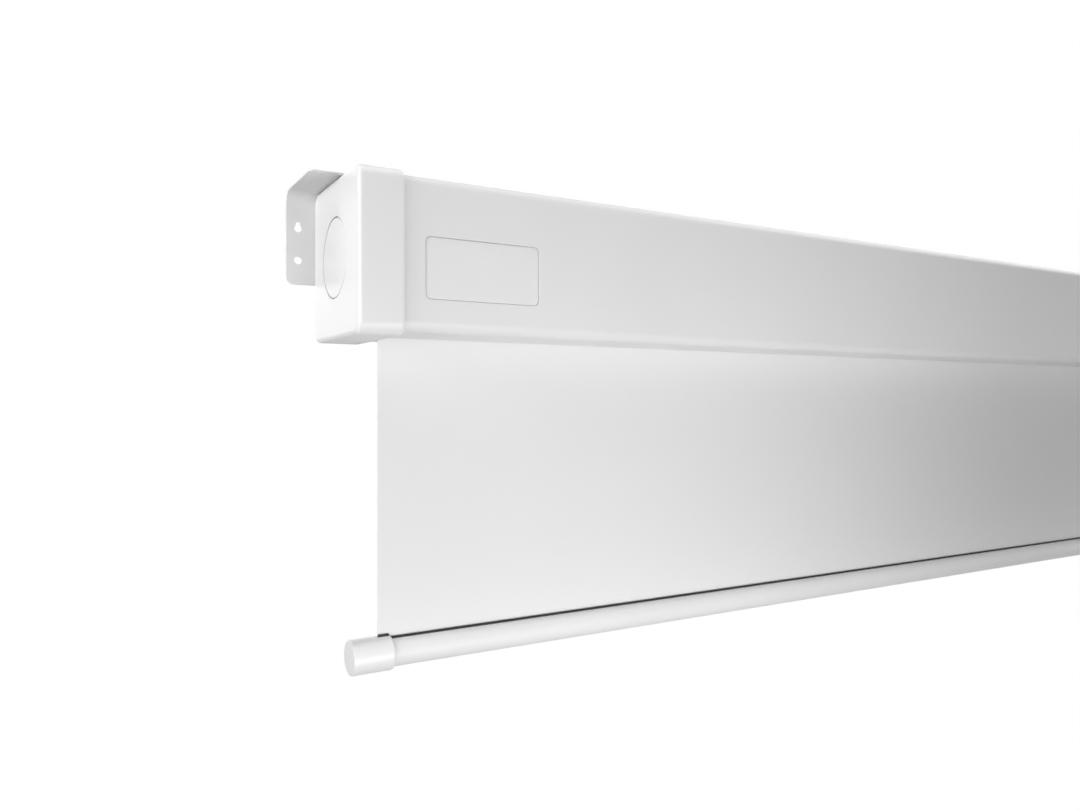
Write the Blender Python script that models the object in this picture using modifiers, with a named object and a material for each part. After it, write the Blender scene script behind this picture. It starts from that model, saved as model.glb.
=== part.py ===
"""A motorised projector screen: a white case on two wall brackets, with its cloth partly lowered.

Metres. +X runs along the case to the viewer's right, +Y into the wall and +Z up. The origin is on
the back of the left wall bracket, between its keyhole and its round hole. What stands at both ends
of the case is built in an end frame, whose X runs inwards from the end cap's outer face. The right
end frame is mirrored, so both ends share one description.
"""

import math

import bmesh
import bpy
from mathutils import Matrix, Vector

MM = 0.001

# Clearance left between pieces that touch
GAP = 0.3 * MM
# How far a solid reaches into the one it is joined to
OVERLAP = 0.6 * MM
# Points closer than this are one point
WELD = 0.002 * MM

# Wall brackets, whose backs lie in the wall plane y = 0
BRACKET_THICKNESS = 1 * MM
BRACKET_INNER_RADIUS = 7.6 * MM
BRACKET_OUTBOARD = 16.1 * MM
BRACKET_INBOARD = 23.6 * MM
BRACKET_BOTTOM = -22 * MM
BRACKET_TOP = 31.5 * MM
BRACKET_FRONT = -52.5 * MM
BRACKET_CORNER = 4.5 * MM
BRACKET_FRONT_CORNER = 2 * MM
HOLE_OUTBOARD = 9.3 * MM
ROUND_HOLE_Z = -8 * MM
ROUND_HOLE_RADIUS = 2.3 * MM
KEYHOLE_Z = 10.3 * MM
KEYHOLE_RADIUS = 2.2 * MM
KEYHOLE_SLOT_WIDTH = 2.6 * MM
KEYHOLE_SLOT_RISE = 2.6 * MM
PILOT_OUTBOARD = 8.9 * MM
PILOT_RADIUS = 0.9 * MM
PILOT_Y = (-29.3 * MM, -47.7 * MM)
BRACKET_SCREW_X = 13 * MM
BRACKET_SCREW_Z = (-10 * MM, 10 * MM)
BRACKET_INNER_CORNER = 1 * MM
BRACKET_SINK = 3.6 * MM
BRACKET_SINK_FLOOR = 2.2 * MM
BRACKET_SINK_RISE = 0.4 * MM

# Screws, by the radius of the shank, and the holes that clear them
SMALL_SCREW = 1.5 * MM
SMALL_HOLE = 1.85 * MM
BRACKET_SCREW = 1.5 * MM
BRACKET_HOLE = 2.3 * MM
CAP_SCREW_LENGTH = 6 * MM
PLATE_SCREW_LENGTH = 12 * MM
BRACKET_SCREW_LENGTH = 12 * MM
SCREW_SINK = 0.1 * MM
SCREW_STEPS = 8
HOLE_STEPS = 8

# Case and end caps
CASE_LENGTH = 1850 * MM
CASE_LEFT = HOLE_OUTBOARD
CASE_RIGHT = CASE_LEFT + CASE_LENGTH
CAP_LENGTH = 24.7 * MM
CAP_DEPTH = 83 * MM
CAP_HEIGHT = 86.2 * MM
CAP_BACK = -BRACKET_THICKNESS - GAP
CAP_FRONT = CAP_BACK - CAP_DEPTH
CAP_TOP = 30.2 * MM
CAP_BOTTOM = CAP_TOP - CAP_HEIGHT
CAP_CORNER = 7 * MM
CAP_FACE_EDGE = 2.2 * MM
CAP_MOUTH_EDGE = 1.5 * MM
CAP_END_WALL = 2.5 * MM
CAP_STEP = 2 * MM
CASE_FRONT = CAP_FRONT + CAP_STEP
CASE_BACK = CAP_BACK - CAP_STEP
CASE_TOP = CAP_TOP - CAP_STEP
CASE_BOTTOM = CAP_BOTTOM + CAP_STEP
CASE_CORNER = 6.3 * MM
CASE_WALL = 2 * MM
CASE_START = 8.3 * MM
CHANNEL_INSET = 3.4 * MM
CHANNEL_OUTER = 3.6 * MM
CHANNEL_BORE = 1.85 * MM
CHANNEL_MOUTH = 60

# Round cover disc in the end cap
DISC_RADIUS = 21.5 * MM
DISC_GROOVE = 0.7 * MM
DISC_SEAT = 2 * MM
DISC_THICKNESS = 1.6 * MM
DISC_EDGE = 0.4 * MM
DISC_STEPS = 48
SEAT_THICKNESS = 2.5 * MM
SEAT_RING_RADIUS = 25.5 * MM
WINDOW_RADIUS = 15 * MM
COLLAR_OUTER = 14.6 * MM
COLLAR_INNER = 13 * MM
COLLAR_BEAD = 15.3 * MM
COLLAR_BEAD_START = 4.8 * MM
COLLAR_BEAD_CREST = 5 * MM
COLLAR_END = 5.6 * MM
COLLAR_SLIT = 2 * MM
CAP_SCREW_OFFSET = 13.4 * MM
CAP_BOSS = 4 * MM
CAP_SINK = 3.2 * MM
CAP_SINK_START = DISC_SEAT - 0.1 * MM
CAP_SINK_DEPTH = 1.7 * MM
CAP_RIB = 1.6 * MM

# End plates of bent steel
PLATE_OUTER = 6 * MM
PLATE_THICKNESS = 2 * MM
PLATE_BEND_RADIUS = 1 * MM
PLATE_TAB_LOW = -18 * MM
PLATE_TAB_HIGH = 18 * MM
PLATE_TAB_LENGTH = 15 * MM
PLATE_TAB_CORNER = 3 * MM
PLATE_RELIEF = 1.2 * MM
PLATE_INSIDE = PLATE_OUTER + PLATE_THICKNESS

# Bare plate in the recess on the case's front
BADGE_WIDTH = 68 * MM
BADGE_HEIGHT = 33 * MM
BADGE_LEFT = 36.6 * MM
BADGE_BOTTOM = CAP_BOTTOM + 19.7 * MM
BADGE_CORNER = 3 * MM
BADGE_RECESS = 1.2 * MM
BADGE_THICKNESS = 0.5 * MM

# Roller, motor and cloth roll
ROLLER_Y = CAP_FRONT + 42 * MM
ROLLER_Z = CAP_BOTTOM + 43.8 * MM
TUBE_RADIUS = 21 * MM
TUBE_WALL = 1.2 * MM
TUBE_LEFT = 15.3 * MM
TUBE_RIGHT = 19.4 * MM
GROOVE_WIDTH = 3.6 * MM
GROOVE_DEPTH = 1.6 * MM
SPLINE_HEIGHT = 1 * MM
ROLL_RADIUS = 24.1 * MM
MOTOR_RADIUS = 17.5 * MM
MOTOR_LENGTH = 430 * MM
MOTOR_START = 17.1 * MM
MOTOR_WAIST = 0.6 * MM
MOTOR_CLEARANCE = 0.4 * MM
HEAD_RADIUS = 20 * MM
HEAD_FLANGE_END = 14 * MM
HEAD_EDGE = 1 * MM
STUB_WIDTH = 10 * MM
STUB_END = 3 * MM
STUB_SEAT = 13 * MM
SPLIT_PIN_RADIUS = 0.7 * MM
SPLIT_PIN_HOLE = 1 * MM
SPLIT_PIN_REACH = 8.5 * MM
LEAD_SOCKET_LOW = (-5 * MM, 9 * MM)
LEAD_SOCKET_HIGH = (5 * MM, 15 * MM)
LEAD_SOCKET_FLOOR = 12.5 * MM
SHAFT_RADIUS = 6 * MM
SHAFT_LENGTH = 26 * MM
WHEEL_LENGTH = 18 * MM
WHEEL_RIM = 16.5 * MM
WHEEL_HUB = 10 * MM
WHEEL_WEB = 3 * MM
CLIP_WIDTH = 3 * MM
CLIP_THICKNESS = 1.2 * MM
DRIVE_PIN_RADIUS = 1.6 * MM
DRIVE_PIN_INNER = 12 * MM
RING_END = 27 * MM
PIN_RADIUS = 4 * MM
PIN_START = 4.6 * MM
PIN_END = 38 * MM
PIN_COLLAR = 6.5 * MM
BUSH_RADIUS = 8 * MM
BUSH_START = 5.2 * MM
BUSH_FLANGE = 3 * MM
BUSH_FLANGE_LENGTH = 2 * MM
PLUG_FLANGE = 2 * MM
PLUG_END = 45 * MM
PLUG_HUB = 8 * MM
PLUG_SKIRT = 17.2 * MM
PLUG_WEB_END = 18 * MM
LIMIT_SCREW_Y = 8 * MM
LIMIT_SCREW_Z = -6 * MM
LIMIT_SCREW_RADIUS = 2.1 * MM
LIMIT_SCREW_START = 4.5 * MM
LIMIT_SCREW_END = 14 * MM
LIMIT_SCREW_SOCKET = 1.2 * MM
LIMIT_SCREW_CLEARANCE = 0.4 * MM
GLAND_Y = CAP_FRONT + 66 * MM
GLAND_Z = CAP_BOTTOM + 17 * MM
GLAND_RADIUS = 6 * MM
CABLE_RADIUS = 3.7 * MM
GLAND_FLANGE = 8.5 * MM
GLAND_RISE = 3 * MM
GLAND_END = 5 * MM

# Cloth, its slot and the bottom bar
CLOTH_WIDTH = 1800 * MM
CLOTH_START = (CASE_LENGTH - CLOTH_WIDTH) / 2
CLOTH_THICKNESS = 0.5 * MM
CLOTH_FRONT = CAP_FRONT + 43.95 * MM
CLOTH_BACK = CLOTH_FRONT + CLOTH_THICKNESS
SLOT_FRONT = CLOTH_FRONT - GAP
SLOT_BACK = CAP_FRONT + 57 * MM
CLOTH_TOP = CASE_BOTTOM + CASE_WALL + GAP
BAR_Z = CAP_BOTTOM - 174.4 * MM
BAR_RADIUS = 8.05 * MM
BAR_WALL = 1.6 * MM
BAR_SLOT = 3 * MM
BAR_CAP_RADIUS = 9.75 * MM
BAR_CAP_START = 8.6 * MM
BAR_CAP_LENGTH = 23.8 * MM
BAR_CAP_WALL = 2 * MM
BAR_CAP_EDGE = 0.9 * MM
BAR_CAP_MOUTH_EDGE = 1.3 * MM
BAR_CAP_SLOT_FLOOR = 2 * MM
HEM_ROD_RADIUS = 2.6 * MM
SEAL_CLEARANCE = 0.05 * MM
SEAL_THICKNESS = 1.05 * MM
SEAL_DEPTH = 1.05 * MM
SEAL_RISE = 1.1 * MM

# Finishes: colour, roughness and metallic value
WHITE_POWDER_COAT = ((0.86, 0.86, 0.86), 0.45, 0.0)
WHITE_MOULDED_PLASTIC = ((0.87, 0.87, 0.87), 0.4, 0.0)
WHITE_CLOTH = ((0.88, 0.88, 0.88), 0.85, 0.0)
GREY_PLASTIC = ((0.25, 0.25, 0.26), 0.5, 0.0)
BLACK_PLASTIC = ((0.03, 0.03, 0.03), 0.5, 0.0)
BARE_ALUMINIUM = ((0.75, 0.76, 0.77), 0.35, 1.0)
ZINC_PLATED_STEEL = ((0.62, 0.63, 0.65), 0.3, 1.0)
DARK_ENAMEL = ((0.08, 0.08, 0.09), 0.4, 0.0)
YELLOW_PLASTIC = ((0.8, 0.6, 0.05), 0.45, 0.0)

# Which world axis a solid's own Z follows
ALONG = {
    "X": Matrix(((0, 0, 1, 0), (1, 0, 0, 0), (0, 1, 0, 0), (0, 0, 0, 1))),
    "Y": Matrix(((0, 1, 0, 0), (0, 0, 1, 0), (1, 0, 0, 0), (0, 0, 0, 1))),
    "Z": Matrix.Identity(4),
}
# The fill of a flat curve loses detail on small outlines, so they are drawn this many times larger.
DRAWN_LARGER = 1000


def clear_scene():
    for old in list(bpy.data.objects):
        bpy.data.objects.remove(old)


def add_collection(name):
    made = bpy.data.collections.new(name)
    bpy.context.scene.collection.children.link(made)
    return made


def add_frame(name, location, mirrored=False):
    """An empty that pieces are parented to. A mirrored one turns X round."""
    frame = bpy.data.objects.new(name, None)
    frame.location = location
    frame.scale.x = -1 if mirrored else 1
    screen.objects.link(frame)
    return frame


def add_material(name, finish):
    colour, roughness, metallic = finish
    made = bpy.data.materials.new(name)
    made.use_nodes = True
    shader = made.node_tree.nodes["Principled BSDF"]
    shader.inputs["Base Color"].default_value = (*colour, 1)
    shader.inputs["Roughness"].default_value = roughness
    shader.inputs["Metallic"].default_value = metallic
    made.diffuse_color = (*colour, 1)
    return made


def add_part(name, mesh, finish, frame=None):
    """A sub-part of the screen, with its own material."""
    part = bpy.data.objects.new(name, mesh)
    screen.objects.link(part)
    part.parent = frame
    mesh.materials.append(add_material(name + "_finish", finish))
    return part


def add_cutter(name, mesh, frame=None):
    """A hidden solid that Boolean modifiers use."""
    cutter = bpy.data.objects.new(name, mesh)
    cutters.objects.link(cutter)
    cutter.parent = frame
    cutter.hide_render = True
    cutter.display_type = "WIRE"
    return cutter


def combine(part, other, operation="DIFFERENCE"):
    boolean = part.modifiers.new(other.name, "BOOLEAN")
    boolean.operation = operation
    boolean.solver = "EXACT"
    boolean.object = other


def from_end(end, distance):
    """A place along the roller or the bar, measured from the face of that end's cap."""
    return distance if end == "left" else CASE_LENGTH - distance


def from_right(profile):
    """A turned profile whose distances were measured from the right cap's face."""
    return [(from_end("right", distance), radius) for distance, radius in profile]


def both_sides(offset):
    """The two points diagonally either side of the roller's axis, in (y, z)."""
    return [(ROLLER_Y + side * offset, ROLLER_Z + side * offset) for side in (-1, 1)]


def smooth(mesh, angle=35):
    mesh.shade_smooth()
    mesh.set_sharp_from_angle(angle=math.radians(angle))
    return mesh


def keep_flat_faces_flat():
    """Weight the shading of every sub-part towards its large faces."""
    for part in screen.objects:
        if part.type == "MESH":
            normals = part.modifiers.new("flat_faces", "WEIGHTED_NORMAL")
            normals.keep_sharp = True


def arc(centre, radius, start, end, steps):
    """Points on an arc from one angle to another, in degrees."""
    points = []
    for step in range(steps + 1):
        angle = math.radians(start + (end - start) * step / steps)
        points.append((centre[0] + radius * math.cos(angle), centre[1] + radius * math.sin(angle)))
    return points


def circle(centre, radius, steps):
    return arc(centre, radius, 0, 360, steps)[:-1]


def rounded_rectangle(low, high, radius, steps):
    """Anticlockwise, from its lower left corner."""
    points = []
    corners = (
        (low[0] + radius, low[1] + radius, 180),
        (high[0] - radius, low[1] + radius, 270),
        (high[0] - radius, high[1] - radius, 0),
        (low[0] + radius, high[1] - radius, 90),
    )
    for across, up, start in corners:
        points += arc((across, up), radius, start, start + 90, steps)
    return points


def prism(name, outlines, low, high, along="X"):
    """A mesh between two heights of a flat outline and its holes.

    The outline lies in the plane square to its axis: (y, z) along X, (z, x) along Y, (x, y) along Z.
    """
    curve = bpy.data.curves.new(name, "CURVE")
    curve.dimensions = "2D"
    curve.fill_mode = "BOTH"
    curve.extrude = (high - low) / 2 * DRAWN_LARGER
    for outline in outlines:
        spline = curve.splines.new("POLY")
        spline.points.add(len(outline) - 1)
        spline.use_cyclic_u = True
        for point, (across, up) in zip(spline.points, outline):
            point.co = (across * DRAWN_LARGER, up * DRAWN_LARGER, 0, 1)
    drawn = bpy.data.objects.new(name, curve)
    screen.objects.link(drawn)
    graph = bpy.context.evaluated_depsgraph_get()
    mesh = bpy.data.meshes.new_from_object(drawn.evaluated_get(graph))
    mesh.name = name
    bpy.data.objects.remove(drawn)
    bpy.data.curves.remove(curve)

    shape = bmesh.new()
    shape.from_mesh(mesh)
    bmesh.ops.scale(shape, vec=Vector((1, 1, 1)) / DRAWN_LARGER, verts=shape.verts)
    bmesh.ops.translate(shape, vec=(0, 0, (low + high) / 2), verts=shape.verts)
    bmesh.ops.remove_doubles(shape, verts=shape.verts, dist=WELD)
    bmesh.ops.recalc_face_normals(shape, faces=shape.faces)
    bmesh.ops.transform(shape, matrix=ALONG[along], verts=shape.verts)
    shape.to_mesh(mesh)
    shape.free()
    return smooth(mesh)


def block(name, low, high):
    """A box between two corners."""
    low, high = Vector(low), Vector(high)
    shape = bmesh.new()
    bmesh.ops.create_cube(shape, size=1)
    bmesh.ops.scale(shape, vec=high - low, verts=shape.verts)
    bmesh.ops.translate(shape, vec=(low + high) / 2, verts=shape.verts)
    mesh = bpy.data.meshes.new(name)
    shape.to_mesh(mesh)
    shape.free()
    return mesh


def cylinder(name, radius, low, high, centre, along="X", steps=24, far_radius=None):
    """A cylinder, or a cone where far_radius differs, along one axis.

    The centre is given in the plane square to its axis: (y, z) along X, (z, x) along Y.
    """
    shape = bmesh.new()
    bmesh.ops.create_cone(
        shape,
        cap_ends=True,
        segments=steps,
        radius1=radius,
        radius2=radius if far_radius is None else far_radius,
        depth=high - low,
    )
    bmesh.ops.translate(shape, vec=(*centre, (low + high) / 2), verts=shape.verts)
    bmesh.ops.transform(shape, matrix=ALONG[along], verts=shape.verts)
    mesh = bpy.data.meshes.new(name)
    shape.to_mesh(mesh)
    shape.free()
    return smooth(mesh)


def turned(name, profile, finish, frame, centre=(0, 0), along="X", steps=20):
    """A part turned about an axis, from (distance along it, radius) points round its section.

    A solid one starts and ends on the axis, and one with a bore closes on itself. Without a finish it
    is a cutter.
    """
    outline = list(profile)
    hollow = outline[0][1] > 0
    area = 0
    for (far, wide), (next_far, next_wide) in zip(outline, outline[1:] + outline[:1]):
        area += wide * next_far - next_wide * far
    if area > 0:
        outline.reverse()
    mesh = bpy.data.meshes.new(name)
    points = [(radius, 0, distance) for distance, radius in outline]
    edges = [(index, index + 1) for index in range(len(points) - 1)]
    if hollow:
        edges.append((len(points) - 1, 0))
    mesh.from_pydata(points, edges, [])
    part = add_part(name, mesh, finish, frame) if finish else add_cutter(name, mesh, frame)
    part.matrix_local = ALONG[along] @ Matrix.Translation((*centre, 0))
    screw = part.modifiers.new("turn", "SCREW")
    screw.steps = steps
    screw.render_steps = steps
    screw.use_merge_vertices = True
    screw.merge_threshold = WELD
    screw.use_smooth_shade = True
    return part


def bent_sheet(name, outlines, thickness, bend_start, inner_radius, tab=None, steps=6):
    """A flat blank in X and Y, folded upwards by a right angle past bend_start.

    Where tab is given, only the strip between those two X values is folded.
    """
    mesh = prism(name, outlines, 0, thickness, "Z")
    length = (inner_radius + thickness / 2) * math.pi / 2
    centre = thickness + inner_radius
    shape = bmesh.new()
    shape.from_mesh(mesh)
    for step in range(steps + 1):
        bmesh.ops.bisect_plane(
            shape,
            geom=[*shape.verts, *shape.edges, *shape.faces],
            plane_co=(0, bend_start + length * step / steps, 0),
            plane_no=(0, 1, 0),
            dist=WELD,
        )
    for vert in shape.verts:
        past = vert.co.y - bend_start
        if past <= 0 or (tab and not tab[0] - GAP <= vert.co.x <= tab[1] + GAP):
            continue
        angle = min(past / length, 1) * math.pi / 2
        reach = centre - vert.co.z
        vert.co.y = bend_start + reach * math.sin(angle)
        vert.co.z = centre - reach * math.cos(angle) + max(past - length, 0)
    shape.to_mesh(mesh)
    shape.free()
    return smooth(mesh, 20)


def channel(corner, direction):
    """Part of an outline: a screw channel in an inner corner of the case, open towards its middle."""
    turn = math.radians(direction)
    centre = (
        corner[0] - math.copysign(CHANNEL_INSET, math.cos(turn)),
        corner[1] - math.copysign(CHANNEL_INSET, math.sin(turn)),
    )
    meets_wall = 45 + math.degrees(math.acos(CHANNEL_INSET / CHANNEL_OUTER))
    mouth = 180 - CHANNEL_MOUTH / 2
    return (
        arc(centre, CHANNEL_OUTER, direction - meets_wall, direction - mouth, 2)
        + arc(centre, CHANNEL_BORE, direction - mouth, direction + mouth, 7)
        + arc(centre, CHANNEL_OUTER, direction + mouth - 360, direction + meets_wall - 360, 2)
    )


def case_outline():
    """The extruded section of the case: one wall, open at the slot, with four screw channels."""
    lip = CASE_WALL / 2
    middle = CASE_BOTTOM + lip
    inner_front = CASE_FRONT + CASE_WALL
    inner_back = CASE_BACK - CASE_WALL
    inner_bottom = CASE_BOTTOM + CASE_WALL
    inner_top = CASE_TOP - CASE_WALL
    outside = rounded_rectangle((CASE_FRONT, CASE_BOTTOM), (CASE_BACK, CASE_TOP), CASE_CORNER, 6)
    outside.reverse()
    corner_points = len(outside) // 4
    outside = outside[-corner_points:] + outside[:-corner_points]
    return (
        arc((SLOT_FRONT - lip, middle), lip, 90, -90, 4)
        + outside
        + arc((SLOT_BACK + lip, middle), lip, -90, -270, 4)
        + channel((inner_back, inner_bottom), -45)
        + channel((inner_back, inner_top), 45)
        + channel((inner_front, inner_top), 135)
        + channel((inner_front, inner_bottom), 225)
    )


def channel_centres():
    """(y, z) of the four screw channels."""
    inset = CASE_WALL + CHANNEL_INSET
    return [
        (across, up)
        for across in (CASE_FRONT + inset, CASE_BACK - inset)
        for up in (CASE_BOTTOM + inset, CASE_TOP - inset)
    ]


def pan_screw(name, frame, centre, seat, length):
    """A pan head screw whose head sits on the seat, outboard of it, with a socket in its head."""
    radius = SMALL_SCREW
    head = 1.9 * radius
    height = 1.3 * radius
    socket = 0.7 * radius
    profile = [
        (seat - 0.5 * height, 0),
        (seat - 0.5 * height, socket),
        (seat - height, socket),
        (seat - height, 0.7 * head),
        (seat - 0.6 * height, head),
        (seat, head),
        (seat, radius),
        (seat + length - radius, radius),
        (seat + length, 0),
    ]
    return turned(name, profile, ZINC_PLATED_STEEL, frame, centre, steps=SCREW_STEPS)


def countersunk_screw(name, frame, centre, along, face, inwards, radius, length):
    """A screw with its flat head just under a face. inwards is 1 or -1 along its axis."""
    head = 1.85 * radius
    socket = 0.7 * radius
    depths = [
        (SCREW_SINK + 0.5 * radius, 0),
        (SCREW_SINK + 0.5 * radius, socket),
        (SCREW_SINK, socket),
        (SCREW_SINK, head),
        (SCREW_SINK + 0.85 * radius, radius),
        (length - radius, radius),
        (length, 0),
    ]
    profile = [(face + inwards * depth, wide) for depth, wide in depths]
    return turned(name, profile, ZINC_PLATED_STEEL, frame, centre, along, SCREW_STEPS)


def build_case(ends):
    section = case_outline()
    mesh = prism("case_profile", [section], CASE_LEFT + CASE_START, CASE_RIGHT - CASE_START)
    case = add_part("case_profile", mesh, WHITE_POWDER_COAT)
    left = CASE_LEFT + BADGE_LEFT
    low = (BADGE_BOTTOM, left)
    high = (BADGE_BOTTOM + BADGE_HEIGHT, left + BADGE_WIDTH)
    recess = rounded_rectangle(low, high, BADGE_CORNER, 4)
    cut = prism("badge_recess", [recess], CASE_FRONT - CASE_WALL, CASE_FRONT + BADGE_RECESS, "Y")
    combine(case, add_cutter("badge_recess", cut))
    for end, frame in ends.items():
        for number, height in enumerate(BRACKET_SCREW_Z, 1):
            name = f"{end}_screw_hole_{number}"
            centre = (height, BRACKET_SCREW_X)
            low_y = CASE_BACK - 2 * CASE_WALL
            hole = cylinder(name, BRACKET_HOLE, low_y, 0, centre, "Y", HOLE_STEPS)
            combine(case, add_cutter(name, hole, frame))

    low = (low[0] + GAP, low[1] + GAP)
    high = (high[0] - GAP, high[1] - GAP)
    plate = rounded_rectangle(low, high, BADGE_CORNER - GAP, 4)
    back = CASE_FRONT + BADGE_RECESS - GAP
    mesh = prism("badge_plate", [plate], back - BADGE_THICKNESS, back, "Y")
    add_part("badge_plate", mesh, WHITE_MOULDED_PLASTIC)


def cap_body(name):
    """The outside of the end cap: a block with rounded long edges, an eased face and mouth."""
    shape = bmesh.new()
    bmesh.ops.create_cube(shape, size=1)
    bmesh.ops.scale(shape, vec=(CAP_LENGTH, CAP_DEPTH, CAP_HEIGHT), verts=shape.verts)
    centre = (CAP_LENGTH / 2, (CAP_FRONT + CAP_BACK) / 2, (CAP_BOTTOM + CAP_TOP) / 2)
    bmesh.ops.translate(shape, vec=centre, verts=shape.verts)
    corners = [edge for edge in shape.edges if abs(edge.verts[0].co.x - edge.verts[1].co.x) > MM]
    bmesh.ops.bevel(
        shape, geom=corners, offset=CAP_CORNER, segments=6, profile=0.5, affect="EDGES"
    )
    for place, radius, segments in ((0, CAP_FACE_EDGE, 3), (CAP_LENGTH, CAP_MOUTH_EDGE, 2)):
        rim = [
            edge
            for edge in shape.edges
            if all(abs(vert.co.x - place) < WELD for vert in edge.verts)
        ]
        bmesh.ops.bevel(
            shape, geom=rim, offset=radius, segments=segments, profile=0.5, affect="EDGES"
        )
    mesh = bpy.data.meshes.new(name)
    shape.to_mesh(mesh)
    shape.free()
    return smooth(mesh)


def build_end_cap(end, frame):
    """The moulded end cap: a sleeve over the case, a seat for the disc, ribs and screw bosses."""
    name = f"end_cap_{end}"
    cap = add_part(name, cap_body(name), WHITE_MOULDED_PLASTIC, frame)
    axis = (ROLLER_Y, ROLLER_Z)
    behind_seat = DISC_SEAT + SEAT_THICKNESS
    rib_end = PLATE_OUTER - GAP
    past_ribs = PLATE_INSIDE
    in_wall = CAP_END_WALL - OVERLAP

    def cut(label, mesh):
        combine(cap, add_cutter(f"{name}_{label}", mesh, frame))

    def join(label, mesh):
        combine(cap, add_cutter(f"{name}_{label}", mesh, frame), "UNION")

    low = (CASE_FRONT - GAP, CASE_BOTTOM - GAP)
    high = (CASE_BACK + GAP, CASE_TOP + GAP)
    cavity = rounded_rectangle(low, high, CASE_CORNER + GAP, 5)
    cut("cavity", prism("cavity", [cavity], CAP_END_WALL, CAP_LENGTH + MM))
    ring = cylinder("seat_ring", SEAT_RING_RADIUS, in_wall, behind_seat, axis, steps=24)
    join("seat_ring", ring)
    half = CAP_RIB / 2
    front, back = ROLLER_Y - WINDOW_RADIUS, ROLLER_Y + WINDOW_RADIUS
    bottom, top = ROLLER_Z - WINDOW_RADIUS, ROLLER_Z + WINDOW_RADIUS
    ribs = {
        "front_rib": ((low[0] - MM, ROLLER_Z - half), (front, ROLLER_Z + half)),
        "back_rib": ((back, ROLLER_Z - half), (high[0] + MM, ROLLER_Z + half)),
        "bottom_rib": ((ROLLER_Y - half, low[1] - MM), (ROLLER_Y + half, bottom)),
        "top_rib": ((ROLLER_Y - half, top), (ROLLER_Y + half, high[1] + MM)),
    }
    for label, (near, far) in ribs.items():
        join(label, block(label, (in_wall, *near), (rib_end, *far)))
    for number, centre in enumerate(both_sides(CAP_SCREW_OFFSET), 1):
        boss = cylinder("boss", CAP_BOSS, in_wall, rib_end, centre, steps=10)
        join(f"boss_{number}", boss)
    seat = cylinder("disc_seat", DISC_RADIUS + DISC_GROOVE, -MM, DISC_SEAT, axis, steps=DISC_STEPS)
    cut("disc_seat", seat)
    cut("window", cylinder("window", WINDOW_RADIUS, 0, past_ribs, axis, steps=24))
    clip_room = cylinder("clip_room", COLLAR_BEAD + MM, behind_seat, past_ribs, axis, steps=24)
    cut("clip_room", clip_room)
    for number, centre in enumerate(both_sides(CAP_SCREW_OFFSET), 1):
        hole = cylinder("screw_hole", SMALL_HOLE, 0, past_ribs, centre, steps=HOLE_STEPS)
        cut(f"screw_hole_{number}", hole)
        sink = cylinder(
            "sink",
            CAP_SINK,
            CAP_SINK_START,
            CAP_SINK_START + CAP_SINK_DEPTH,
            centre,
            steps=HOLE_STEPS,
            far_radius=SMALL_SCREW,
        )
        cut(f"screw_sink_{number}", sink)
        countersunk_screw(
            f"cap_screw_{end}_{number}",
            frame,
            centre,
            "X",
            DISC_SEAT,
            1,
            SMALL_SCREW,
            CAP_SCREW_LENGTH,
        )
    for number in range(1, len(BRACKET_SCREW_Z) + 1):
        combine(cap, bpy.data.objects[f"{end}_screw_hole_{number}"])
    if end == "right":
        centre = (GLAND_Y, GLAND_Z)
        cut("gland_hole", cylinder("gland_hole", GLAND_RADIUS + GAP, -MM, GLAND_END, centre))


def build_cover_disc(end, frame):
    """The snap-in disc: a round plate with a slit collar that clips behind the cap's seat."""
    name = f"cover_disc_{end}"
    axis = (ROLLER_Y, ROLLER_Z)
    plate = [
        (0, 0),
        (0, DISC_RADIUS - DISC_EDGE),
        (DISC_EDGE, DISC_RADIUS),
        (DISC_THICKNESS, DISC_RADIUS),
        (DISC_THICKNESS, 0),
    ]
    disc = turned(name, plate, WHITE_MOULDED_PLASTIC, frame, axis, steps=DISC_STEPS)
    in_plate = DISC_THICKNESS / 2
    collar = [
        (in_plate, COLLAR_INNER),
        (in_plate, COLLAR_OUTER),
        (COLLAR_BEAD_START, COLLAR_OUTER),
        (COLLAR_BEAD_CREST, COLLAR_BEAD),
        (COLLAR_END, COLLAR_OUTER),
        (COLLAR_END, COLLAR_INNER),
    ]
    combine(disc, turned(f"{name}_collar", collar, None, frame, axis, steps=24), "UNION")
    reach = COLLAR_BEAD + MM
    half = COLLAR_SLIT / 2
    for label, wide, tall in (("across", reach, half), ("upright", half, reach)):
        slit = block(
            f"{name}_{label}",
            (DISC_THICKNESS + GAP, ROLLER_Y - wide, ROLLER_Z - tall),
            (COLLAR_END + MM, ROLLER_Y + wide, ROLLER_Z + tall),
        )
        combine(disc, add_cutter(f"{name}_{label}", slit, frame))


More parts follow.
